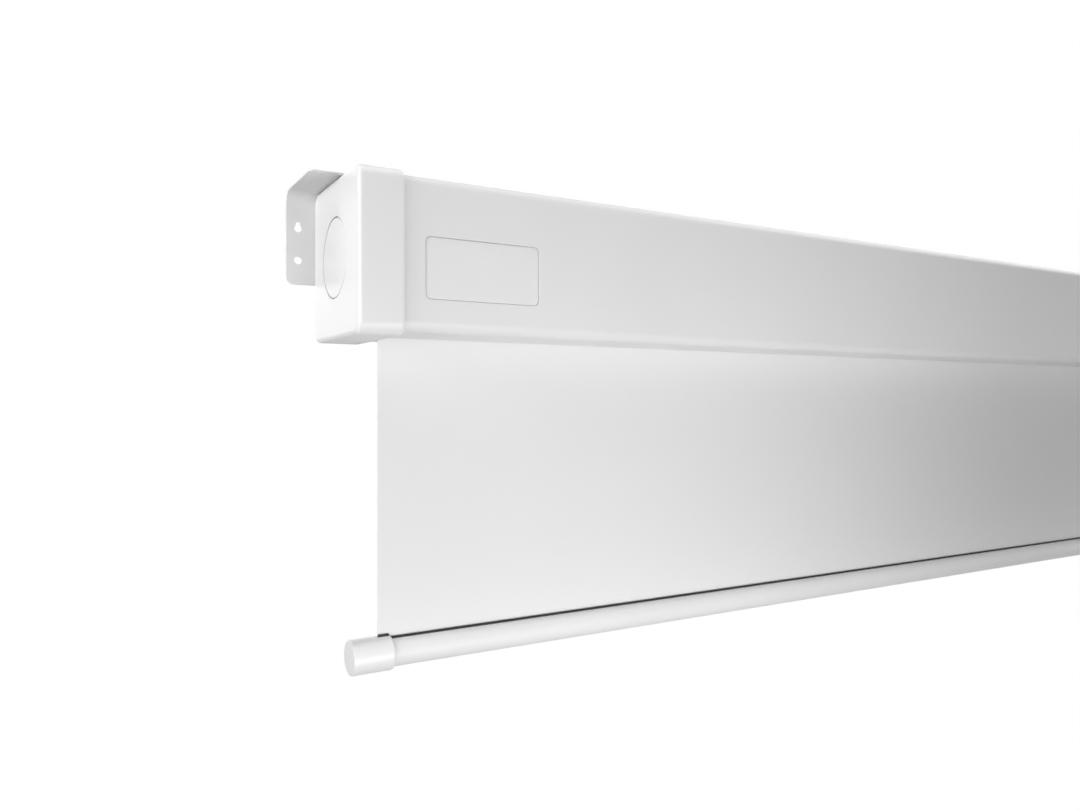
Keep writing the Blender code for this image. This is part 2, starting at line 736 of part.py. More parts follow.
def build_end_plate(name, end, frame, extra_holes):
    """The steel plate that closes the case, with a tab folded inwards for the bracket screws."""
    bend_start = CASE_BACK - CASE_WALL - GAP - PLATE_THICKNESS - PLATE_BEND_RADIUS
    bend_length = (PLATE_BEND_RADIUS + PLATE_THICKNESS / 2) * math.pi / 2
    past_bend = PLATE_THICKNESS + PLATE_BEND_RADIUS
    tab_end = bend_start + bend_length + PLATE_TAB_LENGTH - past_bend
    notch = bend_start - PLATE_RELIEF
    corner = PLATE_TAB_CORNER
    outer = rounded_rectangle((CASE_FRONT, CASE_BOTTOM), (CASE_BACK, CASE_TOP), CASE_CORNER, 4)
    back_top = len(outer) // 2
    tab = (
        [
            (CASE_BACK, PLATE_TAB_LOW - PLATE_RELIEF),
            (notch, PLATE_TAB_LOW - PLATE_RELIEF),
            (notch, PLATE_TAB_LOW),
        ]
        + arc((tab_end - corner, PLATE_TAB_LOW + corner), corner, -90, 0, 3)
        + arc((tab_end - corner, PLATE_TAB_HIGH - corner), corner, 0, 90, 3)
        + [
            (notch, PLATE_TAB_HIGH),
            (notch, PLATE_TAB_HIGH + PLATE_RELIEF),
            (CASE_BACK, PLATE_TAB_HIGH + PLATE_RELIEF),
        ]
    )
    outline = outer[:back_top] + tab + outer[back_top:]
    small_holes = channel_centres() + both_sides(CAP_SCREW_OFFSET)
    holes = [circle(centre, SMALL_HOLE, HOLE_STEPS) for centre in small_holes]
    screw_row = bend_start + bend_length + BRACKET_SCREW_X - PLATE_OUTER - past_bend
    for height in BRACKET_SCREW_Z:
        holes.append(circle((screw_row, height), BRACKET_HOLE, HOLE_STEPS))
    blank = [[(-up, across) for across, up in loop] for loop in [outline, *holes, *extra_holes]]
    folded = (-PLATE_TAB_HIGH, -PLATE_TAB_LOW)
    mesh = bent_sheet(name, blank, PLATE_THICKNESS, bend_start, PLATE_BEND_RADIUS, folded, 3)
    stood_up = Matrix(((0, 0, 1, PLATE_OUTER), (0, 1, 0, 0), (-1, 0, 0, 0), (0, 0, 0, 1)))
    mesh.transform(stood_up)
    add_part(name, mesh, ZINC_PLATED_STEEL, frame)
    seat = PLATE_OUTER - SCREW_SINK
    for number, centre in enumerate(channel_centres(), 1):
        pan_screw(f"plate_screw_{end}_{number}", frame, centre, seat, PLATE_SCREW_LENGTH)


def bracket_body(name):
    """An L of bent sheet with rounded corners."""
    outer = BRACKET_INNER_RADIUS + BRACKET_THICKNESS
    bend = (-outer, BRACKET_TOP - outer)
    section = (
        [(-BRACKET_THICKNESS, BRACKET_BOTTOM), (0, BRACKET_BOTTOM)]
        + arc(bend, outer, 0, 90, 6)
        + [(BRACKET_FRONT, BRACKET_TOP), (BRACKET_FRONT, BRACKET_TOP - BRACKET_THICKNESS)]
        + arc(bend, BRACKET_INNER_RADIUS, 90, 0, 6)
    )
    mesh = prism(name, [section], -BRACKET_OUTBOARD, BRACKET_INBOARD)
    shape = bmesh.new()
    shape.from_mesh(mesh)
    bmesh.ops.dissolve_limit(
        shape, angle_limit=math.radians(1), verts=shape.verts, edges=shape.edges
    )
    for side, at_bottom, radius, segments in (
        (-BRACKET_OUTBOARD, True, BRACKET_CORNER, 4),
        (-BRACKET_OUTBOARD, False, BRACKET_FRONT_CORNER, 3),
        (BRACKET_INBOARD, True, BRACKET_INNER_CORNER, 2),
        (BRACKET_INBOARD, False, BRACKET_INNER_CORNER, 2),
    ):
        corners = []
        for edge in shape.edges:
            middle = (edge.verts[0].co + edge.verts[1].co) / 2
            short = edge.calc_length() < BRACKET_THICKNESS + GAP
            if at_bottom:
                at_end = middle.z < BRACKET_BOTTOM + GAP
            else:
                at_end = middle.y < BRACKET_FRONT + GAP
            if short and at_end and abs(middle.x - side) < GAP:
                corners.append(edge)
        bmesh.ops.bevel(
            shape, geom=corners, offset=radius, segments=segments, profile=0.5, affect="EDGES"
        )
    shape.to_mesh(mesh)
    shape.free()
    return smooth(mesh, 20)


def build_wall_bracket(end, frame):
    """The bracket behind and over the end cap, its outboard strip free for the wall screws."""
    name = f"wall_bracket_{end}"
    bracket = add_part(name, bracket_body(name), WHITE_POWDER_COAT, frame)
    past_back = -BRACKET_THICKNESS - MM

    def cut(label, mesh):
        combine(bracket, add_cutter(f"{name}_{label}", mesh, frame))

    half = KEYHOLE_SLOT_WIDTH / 2
    opens = math.degrees(math.asin(half / KEYHOLE_RADIUS))
    eye = arc((KEYHOLE_Z, -HOLE_OUTBOARD), KEYHOLE_RADIUS, opens, 360 - opens, 12)
    slot_end = arc((KEYHOLE_Z + KEYHOLE_SLOT_RISE, -HOLE_OUTBOARD), half, -90, 90, 5)
    cut("keyhole", prism("keyhole", [eye + slot_end], past_back, MM, "Y"))
    centre = (ROUND_HOLE_Z, -HOLE_OUTBOARD)
    cut("round_hole", cylinder("round_hole", ROUND_HOLE_RADIUS, past_back, MM, centre, "Y", 16))
    low = BRACKET_TOP - BRACKET_THICKNESS - MM
    for number, place in enumerate(PILOT_Y, 1):
        centre = (-PILOT_OUTBOARD, place)
        pilot = cylinder("pilot", PILOT_RADIUS, low, BRACKET_TOP + MM, centre, "Z", HOLE_STEPS)
        cut(f"pilot_{number}", pilot)
    for number, height in enumerate(BRACKET_SCREW_Z, 1):
        centre = (height, BRACKET_SCREW_X)
        hole = cylinder("hole", BRACKET_HOLE, past_back, MM, centre, "Y", HOLE_STEPS)
        cut(f"screw_hole_{number}", hole)
        sink = cylinder(
            "sink",
            BRACKET_SINK_FLOOR,
            -BRACKET_THICKNESS,
            BRACKET_SINK_RISE,
            centre,
            "Y",
            HOLE_STEPS,
            far_radius=BRACKET_SINK,
        )
        cut(f"screw_sink_{number}", sink)
        countersunk_screw(
            f"bracket_screw_{end}_{number}",
            frame,
            centre,
            "Y",
            0,
            -1,
            BRACKET_SCREW,
            BRACKET_SCREW_LENGTH,
        )


def build_idler(end_frame, roller_frame):
    """Left end of the roller: a pin in the tube's plug that turns in a bush on the end plate."""
    bore = PIN_RADIUS + GAP
    flange_start = PLATE_INSIDE + GAP
    flange_end = flange_start + BUSH_FLANGE_LENGTH
    bush = [
        (BUSH_START, bore),
        (BUSH_START, BUSH_RADIUS),
        (flange_start, BUSH_RADIUS),
        (flange_start, BUSH_RADIUS + BUSH_FLANGE),
        (flange_end, BUSH_RADIUS + BUSH_FLANGE),
        (flange_end, bore),
    ]
    turned("idler_bush", bush, BLACK_PLASTIC, end_frame, (ROLLER_Y, ROLLER_Z))
    collar_start = flange_end + GAP
    collar_end = TUBE_LEFT - PLUG_FLANGE - 2 * GAP
    pin = [
        (PIN_START, 0),
        (PIN_START, PIN_RADIUS),
        (collar_start, PIN_RADIUS),
        (collar_start, PIN_COLLAR),
        (collar_end, PIN_COLLAR),
        (collar_end, PIN_RADIUS),
        (PIN_END, PIN_RADIUS),
        (PIN_END, 0),
    ]
    turned("idler_pin", pin, ZINC_PLATED_STEEL, roller_frame, steps=16)
    fits_tube = TUBE_RADIUS - TUBE_WALL - GAP
    plug = [
        (collar_end + GAP, bore),
        (collar_end + GAP, TUBE_RADIUS),
        (TUBE_LEFT - GAP, TUBE_RADIUS),
        (TUBE_LEFT - GAP, fits_tube),
        (PLUG_END, fits_tube),
        (PLUG_END, PLUG_SKIRT),
        (PLUG_WEB_END, PLUG_SKIRT),
        (PLUG_WEB_END, PLUG_HUB),
        (PLUG_END, PLUG_HUB),
        (PLUG_END, bore),
    ]
    part = turned("idler_plug", plug, GREY_PLASTIC, roller_frame, steps=24)
    cut_key(part, TUBE_LEFT - 2 * GAP, PLUG_END + MM, roller_frame)


def cut_key(part, low, high, roller_frame):
    """The notch that clears the inside of the tube's groove."""
    wide = GROOVE_WIDTH / 2 + TUBE_WALL + GAP
    floor = TUBE_RADIUS - GROOVE_DEPTH - TUBE_WALL - GAP
    name = part.name + "_key"
    notch = block(name, (low, -wide, floor), (high, wide, TUBE_RADIUS + 2 * MM))
    combine(part, add_cutter(name, notch, roller_frame))


def build_motor(end_frame, roller_frame):
    """Right end of the roller: the tubular motor, held by its square stub, and what it turns."""
    axis = (ROLLER_Y, ROLLER_Z)
    head_start = PLATE_INSIDE + GAP
    head_end = MOTOR_START - GAP
    outline = [
        (head_start, 0),
        (head_start, HEAD_RADIUS - HEAD_EDGE),
        (head_start + HEAD_EDGE, HEAD_RADIUS),
        (HEAD_FLANGE_END, HEAD_RADIUS),
        (HEAD_FLANGE_END, MOTOR_RADIUS),
        (head_end, MOTOR_RADIUS),
        (head_end, 0),
    ]
    head = turned("motor_head", outline, BLACK_PLASTIC, end_frame, axis, steps=24)
    half = STUB_WIDTH / 2
    room = half + GAP
    outside = head_start - MM
    pocket = block(
        "stub_pocket",
        (outside, ROLLER_Y - room, ROLLER_Z - room),
        (STUB_SEAT + GAP, ROLLER_Y + room, ROLLER_Z + room),
    )
    combine(head, add_cutter("stub_pocket", pocket, end_frame))
    socket = block(
        "lead_socket",
        (outside, ROLLER_Y + LEAD_SOCKET_LOW[0], ROLLER_Z + LEAD_SOCKET_LOW[1]),
        (LEAD_SOCKET_FLOOR, ROLLER_Y + LEAD_SOCKET_HIGH[0], ROLLER_Z + LEAD_SOCKET_HIGH[1]),
    )
    combine(head, add_cutter("lead_socket", socket, end_frame))

    square = block(
        "motor_stub",
        (STUB_END, ROLLER_Y - half, ROLLER_Z - half),
        (STUB_SEAT, ROLLER_Y + half, ROLLER_Z + half),
    )
    stub = add_part("motor_stub", square, ZINC_PLATED_STEEL, end_frame)
    pin_centre = (STUB_END + 2 * SPLIT_PIN_RADIUS, ROLLER_Y)
    low = ROLLER_Z - SPLIT_PIN_REACH
    high = ROLLER_Z + SPLIT_PIN_REACH
    hole = cylinder("split_pin_hole", SPLIT_PIN_HOLE, low, high, pin_centre, "Z", HOLE_STEPS)
    combine(stub, add_cutter("split_pin_hole", hole, end_frame))
    eye = 2 * SPLIT_PIN_RADIUS
    pin = [
        (low, 0),
        (low, SPLIT_PIN_RADIUS),
        (high - eye, SPLIT_PIN_RADIUS),
        (high - eye, 0.9 * eye),
        (high, 0.9 * eye),
        (high, 0),
    ]
    turned("stub_pin", pin, ZINC_PLATED_STEEL, end_frame, pin_centre, "Z", SCREW_STEPS)

    for label, side in (("up", -1), ("down", 1)):
        centre = (ROLLER_Y + side * LIMIT_SCREW_Y, ROLLER_Z + LIMIT_SCREW_Z)
        hole_name = f"limit_hole_{label}"
        wide = LIMIT_SCREW_RADIUS + LIMIT_SCREW_CLEARANCE
        hole = cylinder(hole_name, wide, outside, LIMIT_SCREW_END + GAP, centre, steps=12)
        combine(head, add_cutter(hole_name, hole, end_frame))
        socket_floor = LIMIT_SCREW_START + 2 * LIMIT_SCREW_SOCKET
        screw = [
            (socket_floor, 0),
            (socket_floor, LIMIT_SCREW_SOCKET),
            (LIMIT_SCREW_START, LIMIT_SCREW_SOCKET),
            (LIMIT_SCREW_START, LIMIT_SCREW_RADIUS),
            (LIMIT_SCREW_END, LIMIT_SCREW_RADIUS),
            (LIMIT_SCREW_END, 0),
        ]
        turned(f"limit_screw_{label}", screw, YELLOW_PLASTIC, end_frame, centre, steps=6)

    motor_end = MOTOR_START + MOTOR_LENGTH
    waist = MOTOR_START + 0.56 * MOTOR_LENGTH
    housing = [
        (MOTOR_START, 0),
        (MOTOR_START, MOTOR_RADIUS),
        (waist, MOTOR_RADIUS),
        (waist + 2 * MM, MOTOR_RADIUS - MOTOR_WAIST),
        (waist + 5 * MM, MOTOR_RADIUS - MOTOR_WAIST),
        (waist + 7 * MM, MOTOR_RADIUS),
        (motor_end, MOTOR_RADIUS),
        (motor_end, 0),
    ]
    turned("motor_housing", housing, DARK_ENAMEL, end_frame, axis, steps=24)

    fits_tube = TUBE_RADIUS - TUBE_WALL - GAP
    clears_motor = MOTOR_RADIUS + MOTOR_CLEARANCE
    flange_end = TUBE_RIGHT - GAP
    crown = [
        (MOTOR_START, clears_motor),
        (MOTOR_START, TUBE_RADIUS),
        (flange_end, TUBE_RADIUS),
        (flange_end, fits_tube),
        (RING_END, fits_tube),
        (RING_END, clears_motor),
    ]
    ring = turned("limit_ring", from_right(crown), GREY_PLASTIC, roller_frame, steps=24)
    key_end = from_end("right", flange_end - GAP)
    cut_key(ring, from_end("right", RING_END + MM), key_end, roller_frame)

    shaft_start = motor_end + GAP
    shaft_end = shaft_start + SHAFT_LENGTH
    shaft = [
        (shaft_start, 0),
        (shaft_start, SHAFT_RADIUS),
        (shaft_end - MM, SHAFT_RADIUS),
        (shaft_end, SHAFT_RADIUS - MM),
        (shaft_end, 0),
    ]
    turned("motor_output_shaft", from_right(shaft), ZINC_PLATED_STEEL, roller_frame, steps=6)
    wheel_start = shaft_start + 2 * MM
    wheel_end = wheel_start + WHEEL_LENGTH
    middle = (wheel_start + wheel_end) / 2
    web_start = middle - WHEEL_WEB / 2
    web_end = middle + WHEEL_WEB / 2
    section = [
        (wheel_start, 0),
        (wheel_start, WHEEL_HUB),
        (web_start, WHEEL_HUB),
        (web_start, WHEEL_RIM),
        (wheel_start, WHEEL_RIM),
        (wheel_start, fits_tube),
        (wheel_end, fits_tube),
        (wheel_end, WHEEL_RIM),
        (web_end, WHEEL_RIM),
        (web_end, WHEEL_HUB),
        (wheel_end, WHEEL_HUB),
        (wheel_end, 0),
    ]
    wheel = turned("drive_wheel", from_right(section), GREY_PLASTIC, roller_frame, steps=24)
    low = from_end("right", wheel_end + MM)
    high = from_end("right", wheel_start - MM)
    bore = cylinder("drive_wheel_bore", SHAFT_RADIUS + GAP, low, high, (0, 0), steps=6)
    bore.transform(Matrix.Rotation(math.pi / 2, 4, "X"))
    combine(wheel, add_cutter("drive_wheel_bore", bore, roller_frame))
    cut_key(wheel, low, high, roller_frame)
    clip_start = wheel_end + GAP
    clip_end = clip_start + CLIP_THICKNESS
    clip = [
        (clip_start, SHAFT_RADIUS + GAP),
        (clip_start, SHAFT_RADIUS + CLIP_WIDTH),
        (clip_end, SHAFT_RADIUS + CLIP_WIDTH),
        (clip_end, SHAFT_RADIUS + GAP),
    ]
    turned("shaft_clip", from_right(clip), ZINC_PLATED_STEEL, roller_frame, steps=16)
    return wheel, from_end("right", middle)


def build_gland(end_frame):
    """A flanged bush through the end cap's wall, where a mains lead would leave."""
    profile = [
        (-GLAND_RISE, CABLE_RADIUS),
        (-GLAND_RISE, GLAND_FLANGE - GLAND_RISE / 2),
        (-GAP, GLAND_FLANGE),
        (-GAP, GLAND_RADIUS),
        (GLAND_END, GLAND_RADIUS),
        (GLAND_END, CABLE_RADIUS),
    ]
    turned("cable_gland", profile, WHITE_MOULDED_PLASTIC, end_frame, (GLAND_Y, GLAND_Z))


def tube_outline():
    """The roller tube's section: a round wall drawn in at the top to hold the cloth's spline."""
    loops = []
    for inset in (0, TUBE_WALL):
        radius = TUBE_RADIUS - inset
        half = GROOVE_WIDTH / 2 + inset
        floor = TUBE_RADIUS - GROOVE_DEPTH - inset
        opens = math.degrees(math.asin(half / radius))
        wall = arc((0, 0), radius, 90 + opens, 450 - opens, 38)
        loops.append(wall + [(half, floor), (-half, floor)])
    return loops


def build_roller(roller_frame, wheel, pin_x):
    """The roller tube, the pins that fix the drive wheel, the cloth's spline and the rolled cloth."""
    tube_mesh = prism("roller_tube", tube_outline(), TUBE_LEFT, from_end("right", TUBE_RIGHT))
    tube = add_part("roller_tube", tube_mesh, BARE_ALUMINIUM, roller_frame)
    centre = (0, pin_x)
    outer = TUBE_RADIUS - GAP
    for number, side in enumerate((-1, 1), 1):
        near, far = sorted((side * (DRIVE_PIN_INNER - GAP), side * (TUBE_RADIUS + MM)))
        name = f"drive_pin_hole_{number}"
        hole = cylinder(name, DRIVE_PIN_RADIUS + GAP, near, far, centre, "Y", HOLE_STEPS)
        cutter = add_cutter(name, hole, roller_frame)
        combine(tube, cutter)
        combine(wheel, cutter)
        pin = [
            (side * DRIVE_PIN_INNER, 0),
            (side * DRIVE_PIN_INNER, DRIVE_PIN_RADIUS),
            (side * outer, DRIVE_PIN_RADIUS),
            (side * outer, 0),
        ]
        pin_name = f"drive_pin_{number}"
        turned(pin_name, pin, ZINC_PLATED_STEEL, roller_frame, centre, "Y", HOLE_STEPS)

    half = GROOVE_WIDTH / 2 - GAP
    floor = TUBE_RADIUS - GROOVE_DEPTH + GAP
    strip = rounded_rectangle((-half, floor), (half, floor + SPLINE_HEIGHT), GAP, 2)
    start = CLOTH_START
    end = from_end("right", CLOTH_START)
    spline = prism("cloth_spline", [strip], start, end)
    add_part("cloth_spline", spline, GREY_PLASTIC, roller_frame)
    inner = TUBE_RADIUS + GAP
    roll = [(start, inner), (start, ROLL_RADIUS), (end, ROLL_RADIUS), (end, inner)]
    turned("cloth_roll", roll, WHITE_CLOTH, roller_frame, steps=36)


def build_cloth(bar_frame):
    """The hanging cloth, and its lead from the back of the roll to the front lip of the slot."""
    left = CASE_LEFT + CLOTH_START
    right = left + CLOTH_WIDTH
    half = CLOTH_THICKNESS / 2
    middle = (CLOTH_FRONT + CLOTH_BACK) / 2
    hem = BAR_Z + BAR_RADIUS - BAR_WALL
    strip = [(CLOTH_FRONT, hem), (CLOTH_BACK, hem), (CLOTH_BACK, CLOTH_TOP), (CLOTH_FRONT, CLOTH_TOP)]
    cloth = add_part("screen_cloth", prism("screen_cloth", [strip], left, right), WHITE_CLOTH)
    cloth.parent = bar_frame
    cloth.matrix_parent_inverse = Matrix.Translation(bar_frame.location).inverted()

    foot = Vector((middle, CLOTH_TOP + 2 * GAP))
    centre = Vector((ROLLER_Y, ROLLER_Z))
    reach = ROLL_RADIUS + GAP + half
    to_centre = centre - foot
    tangent_length = math.sqrt(to_centre.length_squared - reach**2)
    lean = math.atan2(to_centre.y, to_centre.x) - math.asin(reach / to_centre.length)
    along = Vector((math.cos(lean), math.sin(lean)))
    across = Vector((-along.y, along.x)) * half
    top = foot + along * tangent_length
    lead = [tuple(foot - across), tuple(top - across), tuple(top + across), tuple(foot + across)]
    add_part("cloth_lead", prism("cloth_lead", [lead], left, right), WHITE_CLOTH)


def build_bar(bar_frame):
    """The slotted tube that the hemmed cloth hangs in, its hem rod, end caps and slot seal."""
    inner = BAR_RADIUS - BAR_WALL
    half = BAR_SLOT / 2
    outer_gap = math.degrees(math.asin(half / BAR_RADIUS))
    inner_gap = math.degrees(math.asin(half / inner))
    outside = arc((0, 0), BAR_RADIUS, 90 + outer_gap, 450 - outer_gap, 36)
    inside = arc((0, 0), inner, 450 - inner_gap, 90 + inner_gap, 24)
    start = BAR_CAP_START + BAR_CAP_WALL + GAP
    tube = prism("bar_tube", [outside + inside], start, from_end("right", start))
    add_part("bar_tube", tube, WHITE_POWDER_COAT, bar_frame)
    rod_z = inner - GAP - HEM_ROD_RADIUS
    rod_start = CLOTH_START + MM
    rod_end = from_end("right", rod_start)
    rod = [(rod_start, 0), (rod_start, HEM_ROD_RADIUS), (rod_end, HEM_ROD_RADIUS), (rod_end, 0)]
    turned("hem_rod", rod, GREY_PLASTIC, bar_frame, (0, rod_z), steps=12)

    edge = BAR_CAP_EDGE
    round_edge = BAR_CAP_MOUTH_EDGE
    face = BAR_CAP_START
    mouth = BAR_CAP_START + BAR_CAP_LENGTH
    bore = BAR_RADIUS + GAP
    section = [
        (face, 0),
        (face, BAR_CAP_RADIUS - edge),
        (face + 0.3 * edge, BAR_CAP_RADIUS - 0.3 * edge),
        (face + edge, BAR_CAP_RADIUS),
        *arc((mouth - round_edge, BAR_CAP_RADIUS - round_edge), round_edge, 90, 0, 5),
        (mouth, bore),
        (face + BAR_CAP_WALL, bore),
        (face + BAR_CAP_WALL, 0),
    ]
    for end, profile in (("left", section), ("right", from_right(section))):
        name = f"bar_cap_{end}"
        cap = turned(name, profile, WHITE_MOULDED_PLASTIC, bar_frame, steps=32)
        near, far = sorted((from_end(end, CLOTH_START - 2 * GAP), from_end(end, mouth + MM)))
        low = (near, -half, BAR_CAP_SLOT_FLOOR)
        high = (far, half, BAR_CAP_RADIUS + MM)
        slot = block(f"{name}_slot", low, high)
        combine(cap, add_cutter(f"{name}_slot", slot, bar_frame))

    tube_top = math.sqrt(BAR_RADIUS**2 - half**2)
    cap_top = math.sqrt(BAR_CAP_RADIUS**2 - half**2)
    step = mouth - round_edge
    left_half = [
        (tube_top - SEAL_DEPTH, CLOTH_START),
        (cap_top + SEAL_RISE, CLOTH_START),
        (cap_top + SEAL_RISE, step),
        (tube_top + SEAL_RISE, step),
    ]
    right_half = [(height, from_end("right", place)) for height, place in reversed(left_half)]
    front = -half + SEAL_CLEARANCE
    seal = prism("bar_seal", [left_half + right_half], front, front + SEAL_THICKNESS, "Y")
    add_part("bar_seal", seal, BLACK_PLASTIC, bar_frame)


def idler_plate_holes():
    return [circle((ROLLER_Y, ROLLER_Z), BUSH_RADIUS + GAP, 20)]


def motor_plate_holes():
    """The stub's square hole, the limit screws' holes, the gland's and the lead socket's windows."""
    room = STUB_WIDTH / 2 + GAP
    stub_low = (ROLLER_Y - room, ROLLER_Z - room)
    stub_high = (ROLLER_Y + room, ROLLER_Z + room)
    socket_low = (ROLLER_Y + LEAD_SOCKET_LOW[0], ROLLER_Z + LEAD_SOCKET_LOW[1])
    socket_high = (ROLLER_Y + LEAD_SOCKET_HIGH[0], ROLLER_Z + LEAD_SOCKET_HIGH[1])
    holes = [
        rounded_rectangle(stub_low, stub_high, GAP, 1),
        rounded_rectangle(socket_low, socket_high, MM, 2),
        circle((GLAND_Y, GLAND_Z), CABLE_RADIUS + MM, 12),
    ]
    for side in (-1, 1):
        centre = (ROLLER_Y + side * LIMIT_SCREW_Y, ROLLER_Z + LIMIT_SCREW_Z)
        holes.append(circle(centre, LIMIT_SCREW_RADIUS + LIMIT_SCREW_CLEARANCE, 12))
    return holes


clear_scene()
screen = add_collection("projector_screen")
cutters = add_collection("cutters")
end_frames = {
    "left": add_frame("left_end", (CASE_LEFT, 0, 0)),
    "right": add_frame("right_end", (CASE_RIGHT, 0, 0), mirrored=True),
}
roller_axis = add_frame("roller_axis", (CASE_LEFT, ROLLER_Y, ROLLER_Z))
bar_axis = add_frame("bar_axis", (CASE_LEFT, (CLOTH_FRONT + CLOTH_BACK) / 2, BAR_Z))

build_case(end_frames)
for end_name, end_frame in end_frames.items():
    build_end_cap(end_name, end_frame)
    build_cover_disc(end_name, end_frame)
    build_wall_bracket(end_name, end_frame)
build_end_plate("idler_plate", "left", end_frames["left"], idler_plate_holes())
build_end_plate("motor_plate", "right", end_frames["right"], motor_plate_holes())
build_idler(end_frames["left"], roller_axis)
drive_wheel, drive_pin_x = build_motor(end_frames["right"], roller_axis)
build_gland(end_frames["right"])
build_roller(roller_axis, drive_wheel, drive_pin_x)
build_cloth(bar_axis)
build_bar(bar_axis)
keep_flat_faces_flat()
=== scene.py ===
"""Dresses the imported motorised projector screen: its cloth, every finish and a small white studio.

The script is laid out as a Blender add-on. Its sizes are properties of the scene, each piece or
group has an operator, and a panel in the 3D view's sidebar shows them all. Lengths are in metres,
in the frame's own axes: +X along the case, +Y into the wall and +Z up.
"""

import math

import bpy
from bpy.props import FloatProperty, FloatVectorProperty, IntProperty, PointerProperty
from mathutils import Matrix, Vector


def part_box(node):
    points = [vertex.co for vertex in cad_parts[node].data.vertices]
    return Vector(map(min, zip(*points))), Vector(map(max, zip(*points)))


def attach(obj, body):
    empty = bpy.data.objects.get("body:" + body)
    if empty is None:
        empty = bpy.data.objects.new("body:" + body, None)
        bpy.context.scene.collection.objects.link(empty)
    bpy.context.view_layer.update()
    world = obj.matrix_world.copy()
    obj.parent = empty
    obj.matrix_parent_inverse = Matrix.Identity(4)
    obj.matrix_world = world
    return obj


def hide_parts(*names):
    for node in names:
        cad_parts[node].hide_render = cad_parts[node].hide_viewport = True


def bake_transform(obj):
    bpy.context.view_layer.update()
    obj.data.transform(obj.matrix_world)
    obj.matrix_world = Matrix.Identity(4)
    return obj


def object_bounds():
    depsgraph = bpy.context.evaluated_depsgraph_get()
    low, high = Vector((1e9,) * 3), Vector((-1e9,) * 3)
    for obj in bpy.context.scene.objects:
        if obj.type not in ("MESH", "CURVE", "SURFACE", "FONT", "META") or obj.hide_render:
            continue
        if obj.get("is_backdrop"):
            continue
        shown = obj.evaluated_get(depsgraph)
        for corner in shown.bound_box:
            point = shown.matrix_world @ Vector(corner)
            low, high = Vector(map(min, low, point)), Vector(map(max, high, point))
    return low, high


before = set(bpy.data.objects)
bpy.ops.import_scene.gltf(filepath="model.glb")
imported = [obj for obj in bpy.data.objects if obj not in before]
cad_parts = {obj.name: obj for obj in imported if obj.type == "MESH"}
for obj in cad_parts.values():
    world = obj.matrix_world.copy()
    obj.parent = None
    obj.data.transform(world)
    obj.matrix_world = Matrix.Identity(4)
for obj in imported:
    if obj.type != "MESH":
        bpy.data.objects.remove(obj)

bl_info = {
    "name": "Projector Screen Finisher",
    "version": (1, 0, 0),
    "blender": (4, 5, 0),
    "location": "3D View > Sidebar > Projector Screen",
    "description": "Cloth, finishes and studio for a packed motorised projector screen",
    "category": "Object",
}

MM = 0.001

CASING = "casing"
ROLLER = "roller"
CLOTH_MAP = "cloth_metres"

# Blender's noise keeps nearly all its values between these two.
NOISE_LOW = 0.3
NOISE_HIGH = 0.7
# A wave texture of scale 1 repeats every tau / 20 metres.
WAVES_PER_METRE = math.tau / 20

# The frame's triangles share no points, so those closer than this are made one.
MERGE_DISTANCE = 0.001 * MM
EDGE_SEGMENTS = 2
# How strongly a large flat face keeps its own shading.
FLAT_FACE_WEIGHT = 90

# How finely the runs of cloth are divided.
HANGING_COLUMNS = 90
HANGING_ROWS = 36
HEM_STEPS = 20
FLAP_STEPS = 4
ROLLED_COLUMNS = 2
STEPS_PER_TURN = 40
# Edges of the cloth sharper than this stay crisp.
CLOTH_SMOOTHING = math.radians(40)
# Air between the hem and its rod, and how far over the hem the cloth parts round it.
HEM_CLEARANCE = 0.05 * MM
HEM_THROAT = 0.9 * MM
# How far the flap hangs behind the cloth, in thicknesses of cloth.
FLAP_BEHIND = 1.2
# How far over the hanging cloth's top the lead ends.
LEAD_GAP = 0.2 * MM
# The tube's groove, which holds the cloth's inner end, faces up.
GROOVE_ANGLE = 90

FLOOR_SIZE = 12
# The sensor's width is in millimetres.
SENSOR_WIDTH = 36
CLIP_START = 0.01

# Where the lamps of the left end stand, their widths and what they face. The right end has the same
# ones, mirrored.
END_AIM = (0.15, -0.05, -0.08)
KEY_PLACE = (0.18, -0.6, -0.35)
KEY_SIZE = 0.3
FRONT_PLACE = (-0.6, -0.5, -0.1)
FRONT_SIZE = 0.4
SIDE_PLACE = (-0.8, -0.2, 0.1)
SIDE_SIZE = 0.4
# Heights and distances of the two long lamps, from the frame's origin, and how far they pass the
# object's ends.
TOP_HEIGHT = 0.55
TOP_DISTANCE = -0.09
TOP_WIDTH = 0.35
BACK_HEIGHT = 0.2
BACK_DISTANCE = 0.9
BACK_WIDTH = 0.5
STRIP_REACH = 0.36
# Two strips before the let-down cloth, over its right half and low down over its whole width. Grids
# on them keep their light off the left end.
FILL_DISTANCE = -0.85
FILL_WIDTH = 0.7
FILL_SPREAD = math.radians(62)
RIGHT_FILL_SHIFT = 0.36
RIGHT_FILL_HEIGHT = -0.3
RIGHT_FILL_LENGTH = 0.75
LOW_FILL_HEIGHT = -0.88
LOW_FILL_LENGTH = 1.9


def linear(hex_colour):
    """Scene linear RGBA of an sRGB hex colour."""
    channels = []
    for start in (1, 3, 5):
        value = int(hex_colour[start : start + 2], 16) / 255
        channels.append(value / 12.92 if value <= 0.04045 else ((value + 0.055) / 1.055) ** 2.4)
    return (*channels, 1)


